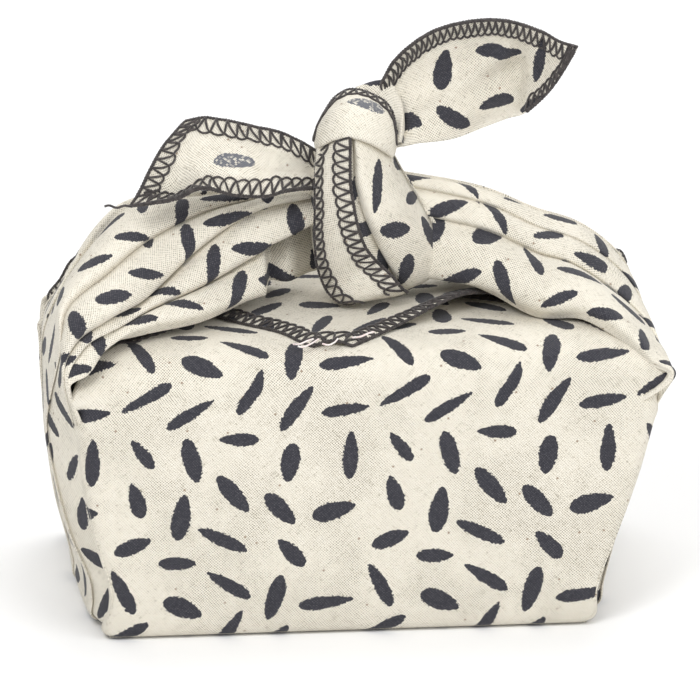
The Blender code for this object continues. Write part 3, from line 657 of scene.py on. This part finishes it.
def tail(table):
    rows = np.array([curve_through(row, TAIL_COLUMNS) for row in table])
    return curve_through(rows, TAIL_ROWS)


# ---------------- the folded base

# The spare length folded to and fro on the base: which way each layer runs, its height, and the rise of
# the turn at its end.
SPARE_LAYERS = ((-1, 1.1, 1.1), (1, 2.2, 0.1), (-1, 2.3, 1.1), (1, 3.4, 0.0))
SPARE_HALF_WIDTH, SPARE_COLUMNS, SPARE_HALF_LENGTH, SPARE_TURN = 70.0, 12, 40.0, 0.8


def base():
    """The cloth under the wrap, and the rest of its length folded to and fro on top of that."""
    rings = [(plan_at(z), z) for z in BASE_RING_HEIGHTS]
    low = rings[-1][0]

    def row(y, low_z, share):
        """The row `share` of the way back, with both its ends up the wrap's rounded lower edge."""

        def rim(side):
            ends = [(plan["front_" + side][0], plan["back_" + side][0], z) for plan, z in rings]
            return [(front + (back - front) * share, y, max(z, low_z)) for front, back, z in ends]

        left, right = rim("left"), rim("right")
        inner = [(x, y, low_z) for x in np.linspace(left[-1][0], right[-1][0], BASE_COLUMNS)[1:]]
        return left + inner + right[-2::-1]

    front_y, back_y = low["front_left"][1], low["back_left"][1]
    places = [(plan["front_left"][1], z, 0.0) for plan, z in rings]
    places += [(front_y + (back_y - front_y) * share, 0.0, share) for share in BASE_SHARES]
    places += [(plan["back_left"][1], z, 1.0) for plan, z in rings[::-1]]
    under = np.array([row(*place) for place in places])

    ys = (-SPARE_HALF_LENGTH, 0.0, SPARE_HALF_LENGTH, SPARE_HALF_LENGTH + SPARE_TURN)
    spare = [
        [(x, y * way, z + (rise / 2 if y == ys[-1] else 0.0))
         for x in np.linspace(-SPARE_HALF_WIDTH, SPARE_HALF_WIDTH, SPARE_COLUMNS)]
        for way, z, rise in SPARE_LAYERS for y in ys
    ]
    return under, np.array(spare[:-1])


# ---------------- the cloth as one mesh

def in_metres(points):
    """The tables' points, moved so that the outline's middle stands over the origin."""
    return (np.asarray(points) - (*CENTRE, 0.0)) * MM


def add_object(name, data):
    made = bpy.data.objects.new(name, data)
    bpy.context.scene.collection.objects.link(made)
    return made


def cloth_object(patches, materials):
    """One mesh of all the sheets, each a (grid, place on the flat cloth), thick towards its reverse."""
    faces, start = [], 0
    for grid, _ in patches:
        rows, columns = grid.shape[:2]
        index = start + np.arange(rows * columns).reshape(rows, columns)
        quads = np.stack([index[:-1, :-1], index[:-1, 1:], index[1:, 1:], index[1:, :-1]], axis=-1)
        faces.append(quads.reshape(-1, 4))
        start += rows * columns
    faces = np.concatenate(faces)
    points = in_metres(np.concatenate([grid.reshape(-1, 3) for grid, _ in patches]))
    uvs = np.concatenate([place.reshape(-1, 2) for _, place in patches])
    mesh = bpy.data.meshes.new("wrap_cloth_sheet")
    mesh.from_pydata(points.tolist(), [], faces.tolist())
    layer = mesh.uv_layers.new(name="flat_cloth")
    corner = np.zeros(len(mesh.loops), int)
    mesh.loops.foreach_get("vertex_index", corner)
    layer.data.foreach_set("uv", (uvs[corner] * MM).astype(np.float32).ravel())
    mesh.polygons.foreach_set("use_smooth", np.ones(len(faces), bool))
    for material in materials:
        mesh.materials.append(material)
    made = add_object("wrap_cloth_sheet", mesh)
    thick = made.modifiers.new("thickness", "SOLIDIFY")
    thick.thickness = CLOTH_THICK * MM
    thick.offset = -1.0
    thick.use_rim = True
    thick.material_offset = thick.material_offset_rim = 1
    return made


def flipped(patch):
    """The same sheet with its print on the other side."""
    grid, place = patch
    return grid[:, ::-1], place[:, ::-1]


# ---------------- overlocked hems

HEM_WIDTH = 5.0
HEM_LEVELS = 9              # points across the strip of cloth under a hem
STRIP_REACH = 1.2           # how wide that strip is, as a share of the hem's width
HEM_LIFT = 0.26             # the threads' middle above the cloth
# The loopers lock in a rope of two strands along the edge: the length of one twist and the spacing of
# its points, where it runs and how wide it is as shares of the hem's width, and its height and lift.
ROPE_TWIST, ROPE_STEP, ROPE_AT, ROPE_ACROSS, ROPE_OVER, ROPE_LIFT = 1.9, 0.45, -0.01, 0.045, 0.26, -0.05
# How unevenly the stitches lie and reach in, as shares of one.
STITCH_SHIFT, STITCH_REACH = 0.05, 0.03
# One stitch, as shares of the pitch along the hem and of the width across it: a rung straight across
# and a slanting one back to the edge, and the loop that joins the rungs' inner ends.
RUNGS = ((0.0, 0.0), (0.03, 0.35), (0.05, 0.70), (0.10, 0.94), (0.40, 0.70), (0.70, 0.38), (0.90, 0.10))
LOOP = ((0.10, 0.90), (0.24, 1.02), (0.50, 1.09), (0.78, 1.05), (0.98, 0.95))
# How a hem is sewn: from one stitch to the next, and the thread's radius.
STITCHES = {"open": (3.4, 0.42), "fine": (3.4, 0.26), "thick": (3.1, 0.45), "close": (2.2, 0.38)}


def hem_strip(sheet, side, start, reverse=False):
    """The strip of cloth along one edge of a sheet, as points and normals to one side, edge first."""
    grid = sheet[0]
    normal = grid_normals(grid)
    if reverse:
        grid, normal = grid - normal * CLOTH_THICK, -normal
    if side == "high":
        grid, normal = np.transpose(grid, (1, 0, 2)), np.transpose(normal, (1, 0, 2))
    if side in ("last", "high"):
        grid, normal = grid[:, ::-1], normal[:, ::-1]
    wanted = np.linspace(0.0, HEM_WIDTH * STRIP_REACH, HEM_LEVELS)
    points, ups = [], []
    for row, up in zip(grid[start:], normal[start:]):
        run = lengths(row)
        points.append(at_ways(wanted, run, row))
        ups.append(at_ways(wanted, run, up))
    return np.array(points), unit(np.array(ups))


def on_strip(strip, s, share, lift):
    """Points over a strip at the way `s` along it and `share` across it, `lift` above the cloth."""
    points, ups = strip
    run = lengths(points[:, 0])
    row = np.interp(s, run, np.arange(len(run)))
    level = np.clip(share, 0.0, STRIP_REACH) * (HEM_LEVELS - 1) / STRIP_REACH
    beyond = np.minimum(share, 0.0)
    row_0 = np.minimum(row.astype(int), len(run) - 2)
    level_0 = np.minimum(level.astype(int), HEM_LEVELS - 2)
    u, v = (row - row_0)[:, None], (level - level_0)[:, None]

    def blend(field):
        low = field[row_0, level_0] * (1 - u) + field[row_0 + 1, level_0] * u
        high = field[row_0, level_0 + 1] * (1 - u) + field[row_0 + 1, level_0 + 1] * u
        return low * (1 - v) + high * v

    outward = unit(points[row_0, 0] - points[row_0, 1])
    return blend(points) - outward * (beyond * HEM_WIDTH)[:, None] + blend(ups) * lift[:, None]


def hem_threads(strip, seed, pitch):
    """The threads of one overlocked hem on one side of the cloth, each a line of points."""
    rng = np.random.default_rng(seed)
    total = lengths(strip[0][:, 0])[-1]
    stitches = int(total / pitch)
    shift, reach = rng.normal(0.0, STITCH_SHIFT, stitches), rng.normal(1.0, STITCH_REACH, stitches)
    lines = []
    for shape in (RUNGS, LOOP):
        s = [(k + step + shift[k] * level) * pitch for k in range(stitches) for step, level in shape]
        share = [level * reach[k] for k in range(stitches) for _, level in shape]
        lines.append(on_strip(strip, np.array(s), np.array(share), np.full(len(s), HEM_LIFT)))
    s = np.linspace(0.0, total, int(total / ROPE_STEP))
    wave = 2 * np.pi * s / ROPE_TWIST
    for turn in (0.0, np.pi):
        across, over = np.cos(wave + turn), np.sin(wave + turn)
        lines.append(on_strip(strip, s, ROPE_AT + ROPE_ACROSS * across, ROPE_OVER * over + ROPE_LIFT))
    return lines


def threads_object(name, lines, radius, material):
    curve = bpy.data.curves.new(name, "CURVE")
    curve.dimensions = "3D"
    curve.bevel_depth = radius * MM
    curve.bevel_resolution = 0
    curve.use_fill_caps = True
    for line in lines:
        points = in_metres(line)
        spline = curve.splines.new("POLY")
        spline.points.add(len(points) - 1)
        spline.points.foreach_set("co", np.column_stack([points, np.ones(len(points))]).ravel())
        spline.use_smooth = True
    curve.materials.append(material)
    return add_object(name, curve)


# ---------------- materials

class Value:
    """A number inside a material. Arithmetic with it adds maths nodes to that material."""

    def __init__(self, nodes, socket):
        self.nodes, self.socket = nodes, socket

    def __add__(self, other):
        return self.nodes.math("ADD", self, other)

    def __sub__(self, other):
        return self.nodes.math("SUBTRACT", self, other)

    def __rsub__(self, other):
        return self.nodes.math("SUBTRACT", other, self)

    def __mul__(self, other):
        return self.nodes.math("MULTIPLY", self, other)

    def __pow__(self, other):
        return self.nodes.math("POWER", self, other)

    def __abs__(self):
        return self.nodes.math("ABSOLUTE", self)


class Nodes:
    """Short calls that add nodes to one material and link them."""

    def __init__(self, tree):
        self.tree, self.shader = tree, tree.nodes["Principled BSDF"]

    def add(self, kind, inputs=(), **settings):
        made = self.tree.nodes.new(kind)
        for name, value in settings.items():
            setattr(made, name, value)
        for name, value in dict(inputs).items():
            value = getattr(value, "socket", value)
            if isinstance(value, bpy.types.NodeSocket):
                self.tree.links.new(value, made.inputs[name])
            else:
                made.inputs[name].default_value = value
        return made

    def to_shader(self, name, socket):
        self.tree.links.new(socket, self.shader.inputs[name])

    def math(self, operation, first, second=0.0, clamp=False):
        inputs = {0: first, 1: second}
        made = self.add("ShaderNodeMath", inputs, operation=operation, use_clamp=clamp)
        return Value(self, made.outputs[0])

    def vector(self, operation, *inputs):
        return self.add("ShaderNodeVectorMath", enumerate(inputs), operation=operation).outputs[0]

    def parts(self, vector):
        """A vector's x and y."""
        made = self.add("ShaderNodeSeparateXYZ", {0: vector})
        return Value(self, made.outputs[0]), Value(self, made.outputs[1])

    def noise(self, vector, scale, detail=2.0, roughness=0.5):
        """Noise from 0 to 1, with the vector's x and y scaled by the two numbers of `scale`."""
        scaled = self.vector("MULTIPLY", vector, (*scale, 1.0))
        inputs = {"Vector": scaled, "Scale": 1.0, "Detail": detail, "Roughness": roughness}
        return Value(self, self.add("ShaderNodeTexNoise", inputs, noise_dimensions="2D").outputs["Fac"])

    def remap(self, value, from_low, from_high, to_low=0.0, to_high=1.0, smoothly=False):
        kind = "SMOOTHSTEP" if smoothly else "LINEAR"
        ends = {"From Min": from_low, "From Max": from_high, "To Min": to_low, "To Max": to_high}
        made = self.add("ShaderNodeMapRange", {"Value": value, **ends}, interpolation_type=kind)
        return Value(self, made.outputs["Result"])

    def mix(self, factor, first, second):
        return self.add("ShaderNodeMix", {0: factor, 6: first, 7: second}, data_type="RGBA").outputs[2]


THREAD_PITCH = 0.64         # from one thread of the cloth to the next
THREAD_NOISE = (1.9, 0.22)  # the scale of a thread's slubs, across it and along it
GAP_STRENGTH = 1.7
PATCH_SCALE = (0.035, 0.035)        # of the patches where the weave is more open
THREAD_TURN = np.radians(45.0)      # the cloth lies cornerwise, so its threads run at this to the UVs
PLAIN_ABOVE = 900.0         # beyond this, up the flat cloth, it is the plain margin along a hem
SEED_COUNT = 24             # in one repeat of the print
SEED_HALF_LENGTH = (5.8, 8.8)
SEED_HALF_WIDTH = (2.1, 3.5)
SEED_TAPER = (0.02, 0.38)           # how much narrower one end of a seed is
SEED_ROUND = 0.52                   # the power that rounds its ends
# How far a seed's edge wanders, how far it steps from thread to thread, and how deep in the ink is full.
EDGE_WANDER, EDGE_STEP, EDGE_DEPTHS = 0.8, 0.42, (0.02, 0.18)
SEED_ROOM = 0.9                     # how much of two seeds' widths keeps them apart
SOAKED_SEEDS = (19,)                # the ones whose ink shows on the cloth's reverse
# The seeds push each other off, and turn, from points along their spines: how near the spines and the
# centres may come, how soft that is, and how much a round moves and turns them.
SPREAD_ROUNDS, SPREAD_SPINE = 400, np.linspace(-0.75, 0.75, 5)
SEED_APART, SEED_SOFT, CENTRES_APART = 1.6, 1.5, 15.5
SPREAD_PUSH, SPREAD_PART, SPREAD_TURN, SPREAD_TURN_MOST = 0.05, 0.03, 0.01, 0.1


def seed_layout():
    """Seeds scattered evenly over one repeat: centres, angles, half lengths, half widths and tapers."""
    rng = np.random.default_rng(11)
    side = int(np.ceil(np.sqrt(SEED_COUNT)))
    cells = rng.permutation(side * side)[:SEED_COUNT]
    centre = np.stack([cells % side, cells // side], axis=1) + rng.uniform(0.2, 0.8, (SEED_COUNT, 2))
    centre *= PRINT_REPEAT / side
    angle = rng.uniform(0.0, 2 * np.pi, SEED_COUNT)
    half_length = rng.uniform(*SEED_HALF_LENGTH, SEED_COUNT)
    half_width = rng.uniform(*SEED_HALF_WIDTH, SEED_COUNT)
    half_width = half_width * (0.6 + 0.4 * half_length / SEED_HALF_LENGTH[1])
    room = (half_width[:, None] + half_width[None]) * SEED_ROOM + SEED_APART
    middle = len(SPREAD_SPINE) // 2
    for _ in range(SPREAD_ROUNDS):
        way = np.stack([np.cos(angle), np.sin(angle)], axis=1)
        sideways = np.stack([-way[:, 1], way[:, 0]], axis=1)
        points = centre[:, None] + way[:, None] * (half_length[:, None] * SPREAD_SPINE)[:, :, None]
        apart = points[:, None, :, None] - points[None, :, None, :]
        apart -= PRINT_REPEAT * np.round(apart / PRINT_REPEAT)
        gap = np.linalg.norm(apart, axis=-1)
        push = np.maximum(room[:, :, None, None] + SEED_SOFT - gap, 0.0) / (gap + 0.1)
        push[np.arange(SEED_COUNT), np.arange(SEED_COUNT)] = 0.0
        pushed = push[..., None] * apart
        between = apart[:, :, middle, middle]
        far = np.maximum(CENTRES_APART - np.linalg.norm(between, axis=-1), 0.0) / CENTRES_APART
        np.fill_diagonal(far, 0.0)
        force = pushed.sum(axis=(1, 2, 3)) * SPREAD_PUSH
        force += (far[..., None] * between).sum(axis=1) * SPREAD_PART
        turn = np.einsum("ijklx,k,ix->i", pushed, SPREAD_SPINE, sideways)
        centre = (centre + force) % PRINT_REPEAT
        angle = angle + np.clip(turn * SPREAD_TURN, -SPREAD_TURN_MOST, SPREAD_TURN_MOST)
    return centre, angle, half_length, half_width, rng.uniform(*SEED_TAPER, SEED_COUNT)


def seed_mask(nodes, flat_mm, cell, chosen=range(SEED_COUNT)):
    """1 inside the chosen seeds and 0 outside. At a seed's edge each thread takes the ink or not."""
    half = PRINT_REPEAT / 2
    layout = list(zip(*seed_layout()))
    inside = None
    for (x, y), angle, half_length, half_width, taper in (layout[k] for k in chosen):
        near = nodes.vector("WRAP", flat_mm, (x + half, y + half, 1.0), (x - half, y - half, -1.0))
        inputs = {"Vector": near, "Location": (x, y, 0.0), "Rotation": (0.0, 0.0, angle)}
        inputs["Scale"] = (half_length, half_width, 1.0)
        local = nodes.add("ShaderNodeMapping", inputs, vector_type="TEXTURE").outputs[0]
        along, across = nodes.parts(local)
        outline = (1.0 - along * along) ** SEED_ROUND * (1.0 - along * taper)
        past_tip = nodes.math("MAXIMUM", abs(along) - 1.0, 0.0)
        gap = (outline - abs(across)) * half_width - past_tip * half_length
        inside = gap if inside is None else nodes.math("MAXIMUM", inside, gap)
    ragged = nodes.noise(flat_mm, (1.4, 1.4), 1.0) - 0.5
    inside = inside + ragged * EDGE_WANDER + (cell - 0.5) * EDGE_STEP
    return nodes.remap(inside, *EDGE_DEPTHS, smoothly=True)


def weave(nodes, threads_mm):
    """An open plain weave: how slubby its threads are, the gaps between them, a random value by gap."""
    warp = nodes.noise(threads_mm, THREAD_NOISE, 2.0, 0.6)
    weft = nodes.noise(threads_mm, THREAD_NOISE[::-1], 2.0, 0.6)
    fine = nodes.noise(threads_mm, (2.4, 2.4), 1.0)
    slubs = (warp + weft) * 0.38 + fine * 0.24
    wander = nodes.noise(threads_mm, (0.09, 0.09))
    wandered = nodes.add("ShaderNodeCombineXYZ", {0: wander, 1: wander}).outputs[0]
    moved = nodes.vector("ADD", threads_mm, wandered)
    waves = nodes.parts(nodes.vector("MULTIPLY", moved, (np.pi / THREAD_PITCH,) * 3))
    ribs = [abs(nodes.math("SINE", wave)) for wave in waves]
    gaps = nodes.math("MULTIPLY", (1.0 - ribs[0]) * (1.0 - ribs[1]), GAP_STRENGTH, clamp=True)
    centred = nodes.vector("ADD", moved, (THREAD_PITCH / 2,) * 3)
    snapped = nodes.vector("SNAP", centred, (THREAD_PITCH,) * 3)
    random = nodes.add("ShaderNodeTexWhiteNoise", {"Vector": snapped}, noise_dimensions="2D")
    return slubs, gaps, Value(nodes, random.outputs["Value"])


CREAM = (0.775, 0.722, 0.610, 1.0)
CREAM_LIGHT = (0.840, 0.800, 0.705, 1.0)
CREAM_GAP = (0.200, 0.180, 0.135, 1.0)
INK = (0.036, 0.036, 0.045, 1.0)
INK_WORN = (0.115, 0.112, 0.125, 1.0)
INK_BEHIND = (0.085, 0.095, 0.125, 1.0)
FLECK = (0.22, 0.13, 0.07, 1.0)
FLECKS_APART = 17.0
INK_THROUGH, INK_SOAKED = 0.05, 0.85        # how much of a seed's ink shows on the reverse
BUMP_STRENGTH, BUMP_HEIGHT = 0.55, 0.00035  # the height in metres
THREAD_COLOURS = ((0.022, 0.018, 0.018, 1.0), (0.07, 0.058, 0.055, 1.0))
PALE_THREAD_COLOURS = ((0.88, 0.86, 0.83, 1.0), (0.80, 0.60, 0.58, 1.0))
FLOOR_COLOURS = ((0.93, 0.93, 0.93, 1.0), (0.95, 0.95, 0.95, 1.0))


def new_material(name, values):
    """A material with these values on its shader, and the calls that add its nodes."""
    material = bpy.data.materials.new(name)
    material.use_nodes = True
    nodes = Nodes(material.node_tree)
    for socket, value in values.items():
        nodes.shader.inputs[socket].default_value = value
    return material, nodes


def cotton(name, printed_side):
    """The cloth's print side, or its reverse, where a little of the ink shows through."""
    material, nodes = new_material(name, {
        "Roughness": 0.88, "Specular IOR Level": 0.25, "Sheen Weight": 0.12, "Sheen Roughness": 0.45,
    })
    flat = nodes.add("ShaderNodeUVMap", uv_map="flat_cloth").outputs[0]
    flat_mm = nodes.vector("MULTIPLY", flat, (1000.0, 1000.0, 0.0))
    turned = {"Vector": flat_mm, "Angle": THREAD_TURN}
    threads_mm = nodes.add("ShaderNodeVectorRotate", turned, rotation_type="Z_AXIS").outputs[0]
    slubs, gaps, cell = weave(nodes, threads_mm)
    cloth = nodes.mix(nodes.remap(slubs, 0.34, 0.66), CREAM, CREAM_LIGHT)
    cloth = nodes.mix(nodes.remap(slubs, 0.44, 0.30, 0.0, 0.7, smoothly=True), cloth, CREAM_GAP)
    openness = nodes.remap(nodes.noise(flat_mm, PATCH_SCALE, 3.0, 0.6), 0.40, 0.60, 0.40, 1.0)
    holes = gaps * openness * nodes.remap(cell, 0.0, 1.0, 0.7, 1.5)
    cloth = nodes.mix(holes, cloth, CREAM_GAP)
    spots = {"Vector": flat_mm, "Scale": 1 / FLECKS_APART}
    spots = nodes.add("ShaderNodeTexVoronoi", spots, voronoi_dimensions="2D").outputs["Distance"]
    cloth = nodes.mix(nodes.remap(spots, 0.030, 0.014, 0.0, 0.75), cloth, FLECK)
    _, up = nodes.parts(flat_mm)
    mask = seed_mask(nodes, flat_mm, cell) * nodes.math("LESS_THAN", up, PLAIN_ABOVE)
    if printed_side:
        worn = gaps * cell + nodes.remap(slubs, 0.54, 0.66, 0.0, 0.35)
        colour = nodes.mix(mask, cloth, nodes.mix(worn, INK, INK_WORN))
    else:
        soaked = seed_mask(nodes, flat_mm, cell, SOAKED_SEEDS) * nodes.remap(cell, 0.0, 0.3)
        colour = nodes.mix(mask * INK_THROUGH + soaked * INK_SOAKED, cloth, INK_BEHIND)
    nodes.to_shader("Base Color", colour)
    bump = {"Height": slubs - gaps * 0.6, "Strength": BUMP_STRENGTH, "Distance": BUMP_HEIGHT}
    nodes.to_shader("Normal", nodes.add("ShaderNodeBump", bump).outputs[0])
    return material


def toned_material(name, values, scale, low, high, colours):
    """A plain material whose colour goes from one to another as noise of this scale goes from `low` to
    `high`."""
    material, nodes = new_material(name, values)
    place = nodes.add("ShaderNodeTexCoord").outputs["Object"]
    tone = nodes.add("ShaderNodeTexNoise", {"Vector": place, "Scale": scale}).outputs["Fac"]
    nodes.to_shader("Base Color", nodes.mix(nodes.remap(tone, low, high), *colours))
    return material


# ---------------- studio

# Each light's name, place, aim, size and power, in metres and watts.
LIGHTS = (
    ("key", (-0.45, -0.75, 1.0), (0.0, 0.0, 0.08), 0.6, 7.2),
    ("fill", (1.0, -1.0, 1.1), (0.0, 0.0, 0.08), 1.6, 13.0),
    ("top", (0.2, 0.5, 1.6), (0.0, 0.0, 0.1), 1.0, 6.0),
    ("backdrop", (0.0, 1.6, 1.8), (0.0, 1.6, 0.0), 2.5, 22.0),
)
WORLD_STRENGTH = 0.42
FLOOR_HALF_SIZE = 6.0


def camera():
    azimuth, elevation = np.radians(VIEW_AZIMUTH), np.radians(VIEW_ELEVATION)
    level = np.cos(elevation)
    back = Vector((np.sin(azimuth) * level, -np.cos(azimuth) * level, np.sin(elevation)))
    right = Vector((np.cos(azimuth), np.sin(azimuth), 0.0))
    up = back.cross(right)
    middle = FRAME_PIXELS / 2
    across = (middle - ORIGIN_PIXEL[0]) / PIXELS_PER_MM * MM
    above = (ORIGIN_PIXEL[1] - middle) / PIXELS_PER_MM * MM
    origin = Vector((-CENTRE[0], -CENTRE[1], 0.0)) * MM
    data = bpy.data.cameras.new("photo_camera")
    data.sensor_width = SENSOR_MM
    data.lens = SENSOR_MM * CAMERA_DISTANCE / (FRAME_PIXELS / PIXELS_PER_MM * MM)
    data.clip_end = CAMERA_REACH
    turn = Matrix((right, up, back)).transposed().to_4x4()
    turn.translation = origin + right * across + up * above + back * CAMERA_DISTANCE
    made = add_object("photo_camera", data)
    made.matrix_world = turn
    bpy.context.scene.camera = made


def studio():
    for name, place, aim, size, power in LIGHTS:
        data = bpy.data.lights.new(name, "AREA")
        data.shape = "DISK"
        data.size = size
        data.energy = power
        made = add_object(name, data)
        made.location = place
        made.rotation_euler = (Vector(aim) - Vector(place)).to_track_quat("-Z", "Y").to_euler()
    world = bpy.data.worlds.new("studio")
    world.use_nodes = True
    background = world.node_tree.nodes["Background"]
    background.inputs["Color"].default_value = (1.0, 1.0, 1.0, 1.0)
    background.inputs["Strength"].default_value = WORLD_STRENGTH
    bpy.context.scene.world = world
    bpy.context.scene.view_settings.view_transform = "Standard"
    size = FLOOR_HALF_SIZE
    mesh = bpy.data.meshes.new("studio_floor")
    corners = [(-size, -size, 0), (size, -size, 0), (size, size, 0), (-size, size, 0)]
    mesh.from_pydata(corners, [], [(0, 1, 2, 3)])
    mesh.materials.append(
        toned_material("studio_floor", {"Roughness": 0.9}, 3.0, 0.0, 1.0, FLOOR_COLOURS)
    )
    add_object("studio_floor", mesh)


# ---------------- the wrap

# The sheets whose grids run the other way, so that their print side comes out on the wrong side.
FLIPPED_SHEETS = ("back", "under", "left_ear", "knot", "band", "collar", "left_tail", "right_tail")


def all_sheets():
    """Each sheet of the cloth as (grid, place on the flat cloth), its print side along its normals."""
    under, fold = base()
    # The plain sheets, with where each lies on the flat cloth: x, y and its turn in degrees.
    plain = {
        "front": (panel(True), 0.0, 0.0, 0.0),
        "back": (panel(False), 0.0, 300.0, 0.0),
        "under": (under, 0.0, -120.0, 0.0),
        "fold": (fold, 300.0, 0.0, 0.0),
        "band": (tail(BAND), 380.0, PLAIN_ABOVE + 20.0, -45.0),
        "hood": (tail(HOOD), 447.2, 46.7, 0.0),
        "collar": (tail(COLLAR), 450.0, 50.0, 0.0),
        "left_tail": (with_relief(tail(LEFT_TAIL), LEFT_TAIL_RELIEF), 534.4, 35.4, 0.0),
        "right_tail": (with_relief(tail(RIGHT_TAIL), RIGHT_TAIL_RELIEF), 628.0, 28.0, 0.0),
    }
    sheets = {name: (grid, flat_place(grid, *place)) for name, (grid, *place) in plain.items()}
    sheets.update(left_ear=ear(LEFT_EAR, -1), right_ear=ear(RIGHT_EAR, 1), knot=knot())
    for name in FLIPPED_SHEETS:
        sheets[name] = flipped(sheets[name])
    return sheets


def both_sides(*strips):
    """The strips on the print side, and then the same ones on the reverse."""
    return strips + tuple((*strip, True) for strip in strips)


# Where the overlocked edges lie: by piece, how it is sewn, and the sheet, side and first row of each
# strip, with True for one on the reverse. A strip's number in its piece is the seed of its threads.
HEMS = {
    "overlock_left_tail": ("open", both_sides(
        ("left_tail", "first", 0), ("left_tail", "last", 0), ("left_tail", "high", 0),
    )),
    "overlock_right_tail": ("close", (
        *both_sides(("right_tail", "first", 0)), *both_sides(("right_tail", "last", 32)),
    )),
    "overlock_knot": ("open", (("band", "first", 0), ("band", "last", 0), ("hood", "last", 0, True))),
    "overlock_flap": ("thick", (
        ("back", "first", FLAP_FIRST_ROW), ("back", "last", FLAP_FIRST_ROW), ("back", "high", 0),
    )),
    "overlock_ears": ("fine", (("left_ear", "first", 42), ("right_ear", "last", 42))),
    "overlock_front": ("thick", (("front", "first", 67), ("front", "last", 67))),
}
# The thread's end left hanging at the left tail's tip.
LOOSE_END = (
    (-62.5, -15.6, 132.6), (-64.8, -16.2, 131.6), (-67.0, -16.6, 132.0), (-69.4, -16.4, 131.3),
    (-71.6, -16.0, 132.0), (-73.2, -16.0, 131.7),
)
LOOSE_END_POINTS = 20
# Pale ends of thread caught in the hem at the flap's tip.
PALE_ENDS = (
    ((-10.5, -40.8, 95.2), (-12.5, -42.6, 95.4), (-15.0, -43.6, 94.8), (-17.0, -43.0, 94.6)),
    ((-9.0, -41.0, 95.2), (-11.5, -43.2, 94.6), (-14.0, -44.2, 94.0), (-15.6, -44.4, 94.4)),
    ((-3.0, -41.0, 95.2), (-4.0, -42.8, 94.8), (-6.0, -43.6, 94.2), (-8.0, -43.4, 94.6)),
    ((1.6, -41.0, 95.4), (4.0, -42.0, 96.0), (6.6, -40.8, 96.6), (8.4, -39.4, 96.4)),
)
PALE_END_POINTS, PALE_RADIUS = 12, 0.32


def thread_pieces(sheets):
    """The pale thread ends at the flap's tip, and the overlocked hems."""
    thread, pale = (
        toned_material(name, {"Roughness": 0.7, "Sheen Weight": 0.2}, 900.0, 0.35, 0.7, colours)
        for name, colours in (("overlock_thread", THREAD_COLOURS), ("pale_thread", PALE_THREAD_COLOURS))
    )
    ends = [curve_through(end, PALE_END_POINTS) for end in PALE_ENDS]
    pieces = [threads_object("loose_ends_flap", ends, PALE_RADIUS, pale)]
    for name, (stitch, strips) in HEMS.items():
        pitch, radius = STITCHES[stitch]
        lines = []
        for number, (sheet, *where) in enumerate(strips):
            lines += hem_threads(hem_strip(sheets[sheet], *where), number, pitch)
        if name == "overlock_left_tail":
            lines.append(curve_through(LOOSE_END, LOOSE_END_POINTS))
        pieces.append(threads_object(name, lines, radius, thread))
    return pieces


def main():
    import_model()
    camera()
    studio()
    sheets = all_sheets()
    materials = [cotton("cotton_print", True), cotton("cotton_reverse", False)]
    cloth = cloth_object(sheets.values(), materials)
    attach(cloth, "root")
    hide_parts("wrap_cloth")
    pieces = thread_pieces(sheets)
    for piece in pieces:
        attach(piece, "root")


main()
